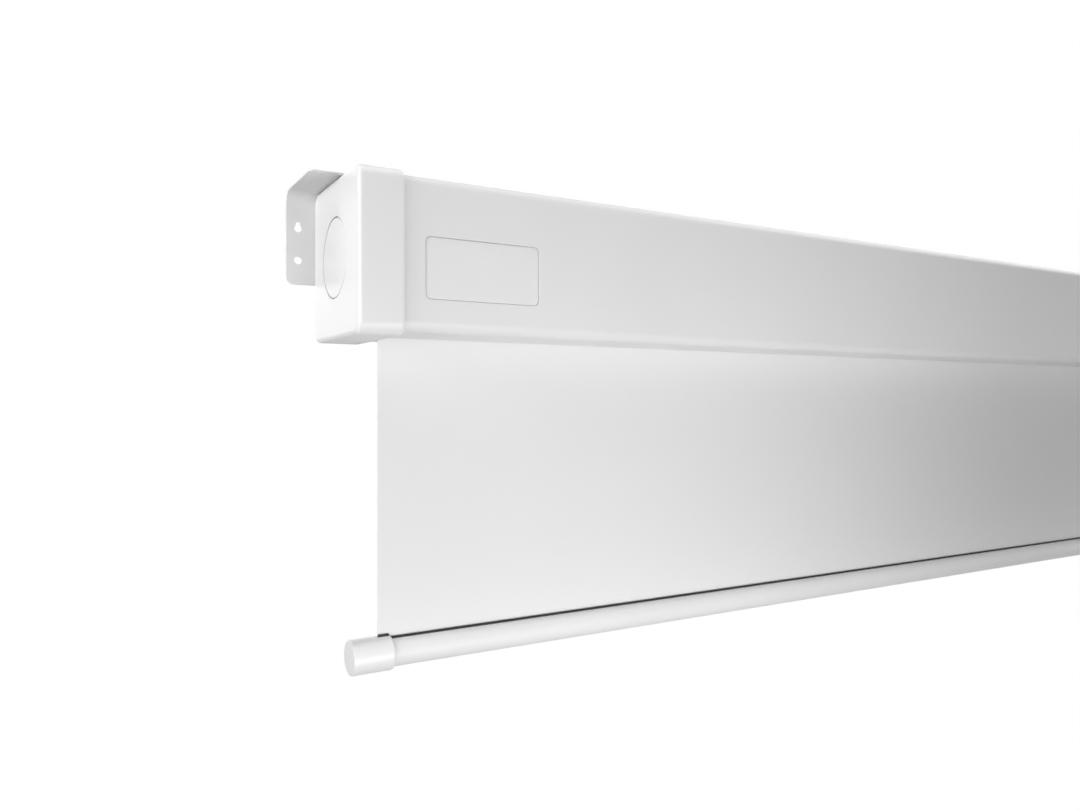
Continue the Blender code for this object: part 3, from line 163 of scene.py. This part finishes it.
class FinishSettings(bpy.types.PropertyGroup):
    """Colours of what is seen from outside."""

    coat: FloatVectorProperty(
        name="Coat",
        description="Powder coat of the case, its brackets and the bottom bar",
        default=linear("#EAEAEA")[:3],
        min=0,
        max=1,
        subtype="COLOR",
    )
    moulding: FloatVectorProperty(
        name="Mouldings",
        description="Plastic of the end caps, cover discs and bar caps",
        default=linear("#ECECEC")[:3],
        min=0,
        max=1,
        subtype="COLOR",
    )
    cloth: FloatVectorProperty(
        name="Cloth",
        description="Coating of the projection cloth",
        default=linear("#EBEBEB")[:3],
        min=0,
        max=1,
        subtype="COLOR",
    )


class ClothSettings(bpy.types.PropertyGroup):
    """Sizes of the cloth, on the roll and off it."""

    thickness: FloatProperty(
        name="Thickness",
        description="Thickness of the coated cloth",
        default=0.34 * MM,
        min=0.1 * MM,
        max=1 * MM,
        precision=5,
        subtype="DISTANCE",
    )
    ripple: FloatProperty(
        name="Ripple",
        description="How far the hanging cloth's faint waves stand behind its plane",
        default=0.25 * MM,
        min=0,
        max=2 * MM,
        precision=5,
        subtype="DISTANCE",
    )
    ripple_length: FloatProperty(
        name="Ripple Length",
        description="Distance from one faint wave to the next",
        default=0.41,
        min=0.05,
        max=1,
        subtype="DISTANCE",
    )
    hem_flap: FloatProperty(
        name="Hem Flap",
        description="Height of the hem's welded flap behind the cloth, over the bottom bar",
        default=10 * MM,
        min=2 * MM,
        max=40 * MM,
        subtype="DISTANCE",
    )
    turns: IntProperty(
        name="Turns",
        description="Whole turns of cloth on the roller",
        default=6,
        min=1,
        max=12,
    )
    turn_gap: FloatProperty(
        name="Turn Gap",
        description="Air between one turn of the rolled cloth and the next",
        default=0.05 * MM,
        min=0.01 * MM,
        max=0.5 * MM,
        precision=5,
        subtype="DISTANCE",
    )


class EdgeSettings(bpy.types.PropertyGroup):
    """How the frame's crisp edges are broken, as coating and moulding do."""

    coated: FloatProperty(
        name="Coated Edge",
        description="Width of the broken edge on powder coated metal",
        default=0.25 * MM,
        min=0.05 * MM,
        max=1 * MM,
        precision=5,
        subtype="DISTANCE",
    )
    moulded: FloatProperty(
        name="Moulded Edge",
        description="Width of the broken edge on moulded plastic",
        default=0.2 * MM,
        min=0.05 * MM,
        max=1 * MM,
        precision=5,
        subtype="DISTANCE",
    )
    angle: FloatProperty(
        name="Edge Angle",
        description="Edges sharper than this are broken",
        default=math.radians(32),
        min=math.radians(10),
        max=math.radians(80),
        subtype="ANGLE",
    )


class StageSettings(bpy.types.PropertyGroup):
    """The camera, its light and the floor."""

    camera_place: FloatVectorProperty(
        name="Camera Place",
        description="Where the camera stands",
        default=(-0.1207, -0.4913, -0.0916),
        precision=4,
        subtype="TRANSLATION",
    )
    camera_yaw: FloatProperty(
        name="Camera Yaw",
        description="How far the camera turns from +Y towards +X",
        default=math.radians(29.9),
        subtype="ANGLE",
    )
    lens: FloatProperty(
        name="Lens",
        description="Focal length in millimetres on a sensor 36 mm wide",
        default=28,
        min=10,
        max=200,
    )
    floor_drop: FloatProperty(
        name="Floor Drop",
        description="Height of the frame's origin over the floor",
        default=1.6,
        min=1.2,
        max=3,
        subtype="DISTANCE",
    )
    surround: FloatProperty(
        name="Surround",
        description="Strength of the even light from all round",
        default=0.05,
        min=0,
        max=2,
    )
    key_power: FloatProperty(
        name="Key Power",
        description="Power of the soft lamp below and before the left end, in watts",
        default=2.5,
        min=0,
        max=200,
    )
    front_power: FloatProperty(
        name="Front Power",
        description="Power of the soft lamp before the left end and beside it, in watts",
        default=1.7,
        min=0,
        max=200,
    )
    side_power: FloatProperty(
        name="Side Power",
        description="Power of the soft lamp beside the left end, in watts",
        default=4.4,
        min=0,
        max=200,
    )
    right_share: FloatProperty(
        name="Right Share",
        description="Power of the right end's key and front lamps as a share of the left end's",
        default=0.45,
        min=0,
        max=2,
        subtype="FACTOR",
    )
    right_side_share: FloatProperty(
        name="Right Side Share",
        description="Power of the right end's side lamp as a share of the left end's",
        default=0.75,
        min=0,
        max=2,
        subtype="FACTOR",
    )
    top_power: FloatProperty(
        name="Top Power",
        description="Power of the long soft lamp over the case, in watts",
        default=8,
        min=0,
        max=200,
    )
    back_power: FloatProperty(
        name="Back Power",
        description="Power of the long soft lamp behind the screen, in watts",
        default=6,
        min=0,
        max=200,
    )
    right_fill_power: FloatProperty(
        name="Right Fill Power",
        description="Power of the strip lamp before the right half of the cloth, in watts",
        default=0.9,
        min=0,
        max=200,
    )
    low_fill_power: FloatProperty(
        name="Low Fill Power",
        description="Power of the strip lamp before the foot of the let-down cloth, in watts",
        default=3.6,
        min=0,
        max=200,
    )
    floor_shown: FloatProperty(
        name="Floor Shown",
        description="How much of its own shade and of the shadow the floor keeps under the screen",
        default=0.2,
        min=0,
        max=1,
        subtype="FACTOR",
    )
    floor_reach: FloatProperty(
        name="Floor Reach",
        description="Distance from the screen at which the floor has faded to white",
        default=1.8,
        min=0.5,
        max=2.2,
        subtype="DISTANCE",
    )


def add_node(tree, kind, inputs, **settings):
    """A node with its settings made, and its inputs linked to a socket or set to a value."""
    node = tree.nodes.new(kind)
    for name, value in settings.items():
        setattr(node, name, value)
    for socket, value in inputs.items():
        if isinstance(value, bpy.types.NodeSocket):
            tree.links.new(value, node.inputs[socket])
        else:
            node.inputs[socket].default_value = value
    return node


def mottled(name, colour, mottle, gloss, relief, stretch=(1, 1, 1)):
    """A material whose shade and gloss drift over layers of fine relief, and its shader.

    mottle is the length of the drift and the share of light that its darkest places lose, and gloss
    the lowest and the highest roughness. relief has the grain and the height of each layer, and
    stretch draws every pattern out along an axis.
    """
    material = bpy.data.materials.new(name)
    material.use_nodes = True
    tree = material.node_tree
    shader = tree.nodes["Principled BSDF"]
    length, loss = mottle
    light = (*colour[:3], 1)
    dark = (*(channel * (1 - loss) for channel in colour[:3]), 1)
    shrink = tuple(1 / factor for factor in stretch)
    own = add_node(tree, "ShaderNodeTexCoord", {}).outputs["Object"]
    place = add_node(tree, "ShaderNodeMapping", {"Vector": own, "Scale": shrink}).outputs["Vector"]
    drift = {"Vector": place, "Scale": 1 / length, "Detail": 3}
    drift = add_node(tree, "ShaderNodeTexNoise", drift)
    spread = {"Value": drift.outputs["Fac"], "From Min": NOISE_LOW, "From Max": NOISE_HIGH}
    share = add_node(tree, "ShaderNodeMapRange", spread).outputs["Result"]
    spread.update({"To Min": gloss[0], "To Max": gloss[1]})
    rough = add_node(tree, "ShaderNodeMapRange", spread).outputs["Result"]
    # The Mix node's sockets 6 and 7 are its two colours, and its output 2 is the colour they make.
    shade = add_node(tree, "ShaderNodeMix", {0: share, 6: dark, 7: light}, data_type="RGBA")
    tree.links.new(shade.outputs[2], shader.inputs["Base Color"])
    tree.links.new(rough, shader.inputs["Roughness"])
    normal = {}
    for grain, height in relief:
        marks = {"Vector": place, "Scale": 1 / grain, "Detail": 1}
        marks = add_node(tree, "ShaderNodeTexNoise", marks).outputs["Fac"]
        bump = {"Height": marks, "Distance": height, **normal}
        normal = {"Normal": add_node(tree, "ShaderNodeBump", bump).outputs["Normal"]}
    tree.links.new(normal["Normal"], shader.inputs["Normal"])
    return material, shader


def powder_coat(colour):
    """White polyester powder, sprayed on the metal and baked.

    The melt levels to a shallow orange peel, which breaks up the soft satin highlights a little.
    """
    relief = ((1.6 * MM, 0.01 * MM), (0.4 * MM, 0.003 * MM))
    material, shader = mottled(
        "white_powder_coat", colour, mottle=(60 * MM, 0.02), gloss=(0.46, 0.56), relief=relief
    )
    shader.inputs["IOR"].default_value = 1.52
    shader.inputs["Specular IOR Level"].default_value = 0.4
    return material


def moulded_abs(colour):
    """White ABS, moulded in a tool with a finely etched face.

    The even, tiny grain gives a satin sheen that is a little smoother than the coated metal's. The
    real grain, 0.05 mm, is drawn at 0.3 mm, because it would not show.
    """
    relief = ((0.3 * MM, 0.003 * MM),)
    material, shader = mottled(
        "white_moulded_abs", colour, mottle=(35 * MM, 0.015), gloss=(0.38, 0.46), relief=relief
    )
    shader.inputs["IOR"].default_value = 1.54
    shader.inputs["Specular IOR Level"].default_value = 0.45
    return material


def screen_fabric(colour):
    """Woven polyester with a matt white vinyl coating.

    The coating scatters light evenly and has almost no highlight, and the weave under it shows only
    as a faint grid close to. The threads, 0.4 mm apart, are drawn 1.2 mm apart, because they would
    not show. They follow the cloth's own map, so that they bend with it on the roll and at the hem.
    """
    relief = ((0.9 * MM, 0.006 * MM),)
    material, shader = mottled(
        "matt_coated_cloth", colour, mottle=(90 * MM, 0.015), gloss=(0.8, 0.9), relief=relief
    )
    shader.inputs["IOR"].default_value = 1.5
    shader.inputs["Specular IOR Level"].default_value = 0.25
    shader.inputs["Sheen Weight"].default_value = 0.08
    shader.inputs["Sheen Roughness"].default_value = 0.6
    tree = material.node_tree
    coating = shader.inputs["Normal"].links[0].from_socket
    along = add_node(tree, "ShaderNodeUVMap", {}, uv_map=CLOTH_MAP).outputs["UV"]
    drawn_apart = 1.2 * MM
    thread = {"Vector": along, "Scale": WAVES_PER_METRE / drawn_apart, "Distortion": 0.4}
    warp = add_node(tree, "ShaderNodeTexWave", thread, bands_direction="X").outputs["Fac"]
    weft = add_node(tree, "ShaderNodeTexWave", thread, bands_direction="Y").outputs["Fac"]
    weave = add_node(tree, "ShaderNodeMath", {0: warp, 1: weft}, operation="MULTIPLY").outputs[0]
    bump = {"Height": weave, "Distance": 0.008 * MM, "Normal": coating}
    bump = add_node(tree, "ShaderNodeBump", bump).outputs["Normal"]
    tree.links.new(bump, shader.inputs["Normal"])
    return material


def moulded_nylon():
    """Grey glass-filled nylon, moulded.

    The glass strands leave faint flow marks along the part and a dull, slightly uneven skin.
    """
    relief = ((0.5 * MM, 0.008 * MM),)
    material, shader = mottled(
        "grey_moulded_nylon",
        linear("#8E9092"),
        mottle=(8 * MM, 0.12),
        gloss=(0.45, 0.58),
        relief=relief,
        stretch=(3, 1, 1),
    )
    shader.inputs["IOR"].default_value = 1.53
    return material


def moulded_acetal(name, hex_colour):
    """Self-coloured acetal, moulded with a polished tool.

    It is smooth and slightly waxy, with a soft clear highlight.
    """
    relief = ((0.6 * MM, 0.003 * MM),)
    material, shader = mottled(
        name, linear(hex_colour), mottle=(10 * MM, 0.08), gloss=(0.28, 0.36), relief=relief
    )
    shader.inputs["IOR"].default_value = 1.48
    return material


def seal_rubber_and_slot_shade():
    """Black extruded rubber.

    The die leaves fine lines along the strip, and the skin is dull, so it reads as a dark line. Its
    black is partly the seal's own colour and partly painted shade: it stands in for the deep shade
    in the bar's slot, where the cloth goes in.
    """
    relief = ((0.4 * MM, 0.01 * MM),)
    material, shader = mottled(
        "black_rubber_and_slot_shade",
        linear("#1C1C1D"),
        mottle=(6 * MM, 0.15),
        gloss=(0.65, 0.8),
        relief=relief,
        stretch=(60, 1, 1),
    )
    shader.inputs["IOR"].default_value = 1.52
    return material


def baked_enamel():
    """Dark baked enamel on the motor's drawn steel tube.

    The thick paint is smooth and rather glossy, over faint rings that drawing left in the steel.
    """
    relief = ((1.2 * MM, 0.006 * MM),)
    material, shader = mottled(
        "dark_baked_enamel",
        linear("#3A3B3E"),
        mottle=(20 * MM, 0.1),
        gloss=(0.24, 0.32),
        relief=relief,
        stretch=(0.5, 6, 6),
    )
    shader.inputs["IOR"].default_value = 1.5
    return material


def zinc_plate():
    """Bright zinc electroplated on pressed and turned steel.

    The bath leaves a bluish mottle, and the steel's rolling marks show through the thin plate.
    """
    relief = ((0.3 * MM, 0.004 * MM),)
    material, shader = mottled(
        "zinc_plated_steel",
        linear("#D2D5D8"),
        mottle=(5 * MM, 0.28),
        gloss=(0.26, 0.42),
        relief=relief,
        stretch=(1, 1, 12),
    )
    shader.inputs["Metallic"].default_value = 1
    return material


def mill_aluminium():
    """Aluminium as the extrusion press leaves it.

    Fine die lines run the whole length of the tube and draw its highlights out along it.
    """
    relief = ((0.35 * MM, 0.005 * MM),)
    material, shader = mottled(
        "mill_finish_aluminium",
        linear("#E0E1E2"),
        mottle=(0.8 * MM, 0.2),
        gloss=(0.28, 0.4),
        relief=relief,
        stretch=(400, 1, 1),
    )
    shader.inputs["Metallic"].default_value = 1
    return material


def finishes_by_node(colours):
    """The finish of every CAD node, by the start of its name."""
    coat = powder_coat(colours.coat)
    abs_plastic = moulded_abs(colours.moulding)
    cloth = screen_fabric(colours.cloth)
    nylon = moulded_nylon()
    black_acetal = moulded_acetal("black_moulded_acetal", "#262627")
    yellow_acetal = moulded_acetal("yellow_moulded_acetal", "#E5B432")
    zinc = zinc_plate()
    return {
        "case_profile": coat,
        "wall_bracket": coat,
        "bar_tube": coat,
        "end_cap": abs_plastic,
        "cover_disc": abs_plastic,
        "badge_plate": abs_plastic,
        "bar_cap": abs_plastic,
        "cable_gland": abs_plastic,
        "screen_cloth": cloth,
        "cloth_roll": cloth,
        "cloth_lead": cloth,
        "roller_tube": mill_aluminium(),
        "idler_plug": nylon,
        "cloth_spline": nylon,
        "hem_rod": nylon,
        "limit_ring": nylon,
        "drive_wheel": nylon,
        "idler_bush": black_acetal,
        "motor_head": black_acetal,
        "limit_screw": yellow_acetal,
        # The seal's black is partly painted shade, standing in for the deep shade in the bar's slot.
        "bar_seal": seal_rubber_and_slot_shade(),
        "motor_housing": baked_enamel(),
        "idler_plate": zinc,
        "idler_pin": zinc,
        "motor_plate": zinc,
        "motor_stub": zinc,
        "motor_output_shaft": zinc,
        "stub_pin": zinc,
        "shaft_clip": zinc,
        "drive_pin": zinc,
        "plate_screw": zinc,
        "cap_screw": zinc,
        "bracket_screw": zinc,
    }


def centre_of(node):
    low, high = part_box(node)
    return (low + high) / 2


def arc(centre, radius, start, end, steps):
    """Points (y, z) on an arc, from one angle to another in degrees."""
    points = []
    for step in range(steps + 1):
        angle = math.radians(start + (end - start) * step / steps)
        points.append((centre[0] + radius * math.cos(angle), centre[1] + radius * math.sin(angle)))
    return points


def cloth_strip(name, path, columns, thickness):
    """A sheet of cloth over the cloth's whole width, laid along a path of (y, z) points.

    Its map holds real metres, across the cloth and along the path, for the weave to follow.
    """
    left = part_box("screen_cloth")[0].x
    width = cloth_width()
    bpy.ops.object.select_all(action="DESELECT")
    bpy.ops.mesh.primitive_grid_add(
        x_subdivisions=columns, y_subdivisions=len(path) - 1, size=1, calc_uvs=True
    )
    strip = bpy.context.object
    strip.name = name
    strip.data.name = name
    run = [path_length(path[: row + 1]) for row in range(len(path))]
    metres = []
    for vert in strip.data.vertices:
        row = round((vert.co.y + 0.5) * (len(path) - 1))
        across = (vert.co.x + 0.5) * width
        vert.co = (left + across, *path[row])
        metres.append((across, run[row]))
    cloth_map = strip.data.uv_layers.active
    cloth_map.name = CLOTH_MAP
    for loop, spot in zip(strip.data.loops, cloth_map.data):
        spot.uv = metres[loop.vertex_index]
    solid = strip.modifiers.new("thickness", "SOLIDIFY")
    solid.thickness = thickness
    solid.offset = 0
    bpy.ops.object.modifier_apply(modifier=solid.name)
    bpy.ops.object.shade_smooth_by_angle(angle=CLOTH_SMOOTHING)
    strip.data.materials.append(bpy.data.materials["matt_coated_cloth"])
    return strip


def cloth_width():
    low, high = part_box("screen_cloth")
    return high.x - low.x


def path_length(path):
    return sum(math.dist(first, second) for first, second in zip(path, path[1:]))


class SCREEN_OT_finish_frame(bpy.types.Operator):
    """Give every CAD node its finish and break its crisp edges"""

    bl_idname = "screen_dress.finish_frame"
    bl_label = "Finish the Frame"

    def execute(self, context):
        edges = context.scene.screen_edges
        finishes = finishes_by_node(context.scene.screen_finishes)
        for node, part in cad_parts.items():
            starts = [start for start in finishes if node.startswith(start)]
            if not starts:
                raise RuntimeError(f"{node} has no finish")
            finish = finishes[starts[0]]
            part.data.materials.clear()
            part.data.materials.append(finish)
            self.soften(part, finish, edges)
        return {"FINISHED"}

    def soften(self, part, finish, edges):
        """A narrow round on crisp edges, and flat shading kept on flat faces."""
        weld = part.modifiers.new("weld", "WELD")
        weld.merge_threshold = MERGE_DISTANCE
        if finish.name.startswith("white"):
            bevel = part.modifiers.new("broken_edge", "BEVEL")
            bevel.width = edges.coated if "coat" in finish.name else edges.moulded
            bevel.segments = EDGE_SEGMENTS
            bevel.limit_method = "ANGLE"
            bevel.angle_limit = edges.angle
            bevel.use_clamp_overlap = True
        part.data.shade_smooth()
        normals = part.modifiers.new("flat_faces", "WEIGHTED_NORMAL")
        normals.weight = FLAT_FACE_WEIGHT


class SCREEN_OT_hang_cloth(bpy.types.Operator):
    """Make the hanging cloth with its hem round the rod in the bottom bar"""

    bl_idname = "screen_dress.hang_cloth"
    bl_label = "Hang the Cloth"

    def execute(self, context):
        cloth = context.scene.screen_cloth
        path, flap_top = self.hem_path(cloth)
        strip = cloth_strip("hanging_cloth", path, HANGING_COLUMNS, cloth.thickness)
        self.ripple(strip, cloth)
        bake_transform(strip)
        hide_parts("screen_cloth")
        return {"FINISHED"}

    def hem_path(self, cloth):
        """Down the cloth, round the hem rod and up behind the cloth; and the flap's top."""
        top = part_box("screen_cloth")[1].z
        across = centre_of("screen_cloth").y
        rod_low, rod_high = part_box("hem_rod")
        rod = centre_of("hem_rod")
        rod_radius = (rod_high.z - rod_low.z) / 2
        reach = rod_radius + cloth.thickness / 2 + HEM_CLEARANCE
        split = rod.z + reach + HEM_THROAT
        tangent = math.degrees(math.acos(reach / (split - rod.z)))
        flap_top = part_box("bar_tube")[1].z + cloth.hem_flap
        behind = across + FLAP_BEHIND * cloth.thickness
        down = []
        for row in range(HANGING_ROWS):
            down.append((across, top + (split - top) * row / (HANGING_ROWS - 1)))
        # From just before the rod's top, down its front, under it and up its back.
        round_rod = arc((across, rod.z), reach, 90 + tangent, 450 - tangent, HEM_STEPS)
        up = []
        for step in range(FLAP_STEPS + 1):
            up.append((behind, split + (flap_top - split) * step / FLAP_STEPS))
        return down + round_rod + up, flap_top

    def ripple(self, strip, cloth):
        """Faint waves that stand behind the plane and die out at the slot and at the flap."""
        low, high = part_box("screen_cloth")
        flap_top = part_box("bar_tube")[1].z + cloth.hem_flap
        for vert in strip.data.vertices:
            drop = (high.z - vert.co.z) / (high.z - flap_top)
            if 0 < drop < 1:
                envelope = math.sin(math.pi * drop)
                wave = 0.5 - 0.5 * math.cos(math.tau * (vert.co.x - low.x) / cloth.ripple_length)
                vert.co.y += cloth.ripple * envelope * wave


class SCREEN_OT_roll_cloth(bpy.types.Operator):
    """Wind the cloth on the roller and lead it to the slot"""

    bl_idname = "screen_dress.roll_cloth"
    bl_label = "Roll the Cloth"

    def execute(self, context):
        cloth = context.scene.screen_cloth
        axis = centre_of("cloth_roll")
        centre = (axis.y, axis.z)
        roll_low, roll_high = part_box("cloth_roll")
        outer = (roll_high.y - roll_low.y) / 2 - cloth.thickness / 2
        foot = (centre_of("screen_cloth").y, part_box("screen_cloth")[1].z + LEAD_GAP)
        apart = math.dist(centre, foot)
        towards = math.atan2(foot[1] - centre[1], foot[0] - centre[0])
        tangent = towards + math.acos(outer / apart)
        meets = (
            centre[0] + outer * math.cos(tangent),
            centre[1] + outer * math.sin(tangent),
        )
        lead = [meets, foot]
        strip = cloth_strip("leading_cloth", lead, ROLLED_COLUMNS, cloth.thickness)
        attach(strip, CASING)
        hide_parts("cloth_lead")

        path = self.spiral(cloth, centre, outer, math.degrees(tangent))
        strip = cloth_strip("rolled_cloth", path, ROLLED_COLUMNS, cloth.thickness)
        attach(strip, ROLLER)
        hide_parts("cloth_roll")
        return {"FINISHED"}

    def spiral(self, cloth, centre, outer, start):
        """From where the lead leaves the roll, inwards to the groove on top of the tube."""
        end = GROOVE_ANGLE + 360 * cloth.turns
        pitch = cloth.thickness + cloth.turn_gap
        steps = round((end - start) / 360 * STEPS_PER_TURN)
        points = []
        for step in range(1, steps + 1):
            turned = (end - start) * step / steps
            radius = outer - pitch * turned / 360
            angle = math.radians(start + turned)
            points.append(
                (centre[0] + radius * math.cos(angle), centre[1] + radius * math.sin(angle))
            )
        return points


class SCREEN_OT_set_stage(bpy.types.Operator):
    """Set the floor, the white surround, the lights and the camera"""

    bl_idname = "screen_dress.set_stage"
    bl_label = "Set the Stage"

    def execute(self, context):
        stage = context.scene.screen_stage
        context.scene.view_settings.view_transform = "Standard"
        self.floor(stage)
        self.surround(context.scene, stage)
        self.lamps(stage)
        self.camera(context.scene, stage)
        return {"FINISHED"}

    def seen_white(self, tree):
        """1 for rays from the camera and for those that metal or glass send on, 0 for the rest."""
        ray = add_node(tree, "ShaderNodeLightPath", {}).outputs
        inputs = {0: ray["Is Camera Ray"], 1: ray["Is Glossy Ray"]}
        seen = add_node(tree, "ShaderNodeMath", inputs, operation="MAXIMUM")
        inputs = {0: seen.outputs[0], 1: ray["Is Transmission Ray"]}
        return add_node(tree, "ShaderNodeMath", inputs, operation="MAXIMUM").outputs[0]

    def floor(self, stage):
        """A pale painted floor that keeps the screen's shadow and fades to white round it."""
        middle = sum(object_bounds(), Vector()) / 2
        bpy.ops.object.select_all(action="DESELECT")
        place = (middle.x, middle.y, -stage.floor_drop)
        bpy.ops.mesh.primitive_plane_add(size=FLOOR_SIZE, location=place)
        floor = bpy.context.object
        floor.name = "studio_floor"
        relief = ((4 * MM, 0.05 * MM),)
        material, shader = mottled(
            "pale_painted_floor",
            linear("#FAFAFA"),
            mottle=(9 * MM, 0.03),
            gloss=(0.7, 0.85),
            relief=relief,
        )
        tree = material.node_tree
        own = add_node(tree, "ShaderNodeTexCoord", {}).outputs["Object"]
        away = add_node(tree, "ShaderNodeVectorMath", {0: own}, operation="LENGTH").outputs["Value"]
        fade = {
            "Value": away,
            "From Min": stage.floor_reach / 2,
            "From Max": stage.floor_reach,
            "To Min": 1 - stage.floor_shown,
            "To Max": 1,
        }
        fade = add_node(tree, "ShaderNodeMapRange", fade, interpolation_type="SMOOTHSTEP")
        inputs = {0: self.seen_white(tree), 1: fade.outputs["Result"]}
        share = add_node(tree, "ShaderNodeMath", inputs, operation="MULTIPLY").outputs[0]
        white = add_node(tree, "ShaderNodeEmission", {"Color": linear("#FFFFFF")})
        inputs = {0: share, 1: shader.outputs["BSDF"], 2: white.outputs["Emission"]}
        mixed = add_node(tree, "ShaderNodeMixShader", inputs)
        output = tree.nodes["Material Output"]
        tree.links.new(mixed.outputs["Shader"], output.inputs["Surface"])
        floor.data.materials.append(material)
        floor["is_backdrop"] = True

    def surround(self, scene, stage):
        """Even light from all round, and plain white behind the object."""
        world = bpy.data.worlds.new("white_surround")
        world.use_nodes = True
        tree = world.node_tree
        tree.nodes.clear()
        white = {"Color": linear("#FFFFFF"), "Strength": 1}
        light = add_node(tree, "ShaderNodeBackground", {**white, "Strength": stage.surround})
        white = add_node(tree, "ShaderNodeBackground", white)
        inputs = {
            0: self.seen_white(tree),
            1: light.outputs["Background"],
            2: white.outputs["Background"],
        }
        mixed = add_node(tree, "ShaderNodeMixShader", inputs).outputs["Shader"]
        add_node(tree, "ShaderNodeOutputWorld", {"Surface": mixed}, is_active_output=True)
        scene.world = world

    def lamps(self, stage):
        """Three soft lamps at each end, two long ones over and behind the case, and two fills."""
        low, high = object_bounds()
        middle = (low.x + high.x) / 2
        placed = (
            ("key", KEY_PLACE, KEY_SIZE, stage.key_power, stage.right_share),
            ("front", FRONT_PLACE, FRONT_SIZE, stage.front_power, stage.right_share),
            ("side", SIDE_PLACE, SIDE_SIZE, stage.side_power, stage.right_side_share),
        )
        for name, place, size, power, share in placed:
            self.lamp(f"left_{name}_lamp", place, END_AIM, size, power)
            place, aim = ((2 * middle - x, y, z) for x, y, z in (place, END_AIM))
            self.lamp(f"right_{name}_lamp", place, aim, size, power * share)
        length = high.x - low.x + 2 * STRIP_REACH
        aim = (middle, 0, 0)
        place = (middle, TOP_DISTANCE, TOP_HEIGHT)
        self.lamp("top_lamp", place, aim, TOP_WIDTH, stage.top_power, length)
        place = (middle, BACK_DISTANCE, BACK_HEIGHT)
        self.lamp("back_lamp", place, aim, BACK_WIDTH, stage.back_power, length)
        right = (RIGHT_FILL_SHIFT, RIGHT_FILL_HEIGHT, RIGHT_FILL_LENGTH, stage.right_fill_power)
        lower = (0, LOW_FILL_HEIGHT, LOW_FILL_LENGTH, stage.low_fill_power)
        for name, fill in (("right", right), ("low", lower)):
            shift, height, length, power = fill
            place = (middle + shift, FILL_DISTANCE, height)
            aim = (middle + shift, 0, height)
            self.lamp(f"{name}_fill_lamp", place, aim, FILL_WIDTH, power, length, FILL_SPREAD)

    def lamp(self, name, place, aim, size, power, length=None, spread=math.pi):
        """A soft lamp that faces its aim: a disc, or a strip where it has a length."""
        data = bpy.data.lights.new(name, "AREA")
        data.shape = "RECTANGLE" if length else "DISK"
        data.size = length or size
        data.size_y = size
        data.energy = power
        data.spread = spread
        lamp = bpy.data.objects.new(name, data)
        lamp.location = place
        facing = Vector(aim) - Vector(place)
        lamp.rotation_euler = facing.to_track_quat("-Z", "Y").to_euler()
        lamp.visible_camera = False
        bpy.context.scene.collection.objects.link(lamp)

    def camera(self, scene, stage):
        data = bpy.data.cameras.new("photo_camera")
        data.sensor_fit = "HORIZONTAL"
        data.sensor_width = SENSOR_WIDTH
        data.lens = stage.lens
        data.clip_start = CLIP_START
        camera = bpy.data.objects.new("photo_camera", data)
        camera.location = stage.camera_place
        camera.rotation_euler = (math.pi / 2, 0, -stage.camera_yaw)
        scene.collection.objects.link(camera)
        scene.camera = camera


class SCREEN_PT_sidebar(bpy.types.Panel):
    """Settings and steps of the projector screen"""

    bl_idname = "SCREEN_PT_sidebar"
    bl_label = "Projector Screen"
    bl_space_type = "VIEW_3D"
    bl_region_type = "UI"
    bl_category = "Projector Screen"

    def draw(self, context):
        layout = self.layout
        for group in GROUPS:
            settings = getattr(context.scene, group)
            box = layout.box()
            for name in settings.__annotations__:
                box.prop(settings, name)
        for operator in STEPS:
            layout.operator(operator.bl_idname)


GROUPS = {
    "screen_finishes": FinishSettings,
    "screen_cloth": ClothSettings,
    "screen_edges": EdgeSettings,
    "screen_stage": StageSettings,
}
STEPS = (
    SCREEN_OT_finish_frame,
    SCREEN_OT_hang_cloth,
    SCREEN_OT_roll_cloth,
    SCREEN_OT_set_stage,
)


def register():
    for name, group in GROUPS.items():
        bpy.utils.register_class(group)
        setattr(bpy.types.Scene, name, PointerProperty(type=group))
    for step in STEPS:
        bpy.utils.register_class(step)
    bpy.utils.register_class(SCREEN_PT_sidebar)


def unregister():
    bpy.utils.unregister_class(SCREEN_PT_sidebar)
    for step in reversed(STEPS):
        bpy.utils.unregister_class(step)
    for name, group in GROUPS.items():
        delattr(bpy.types.Scene, name)
        bpy.utils.unregister_class(group)


def main():
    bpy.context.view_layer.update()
    register()
    bpy.ops.screen_dress.finish_frame()
    bpy.ops.screen_dress.hang_cloth()
    bpy.ops.screen_dress.roll_cloth()
    bpy.ops.screen_dress.set_stage()


if __name__ == "__main__":
    main()
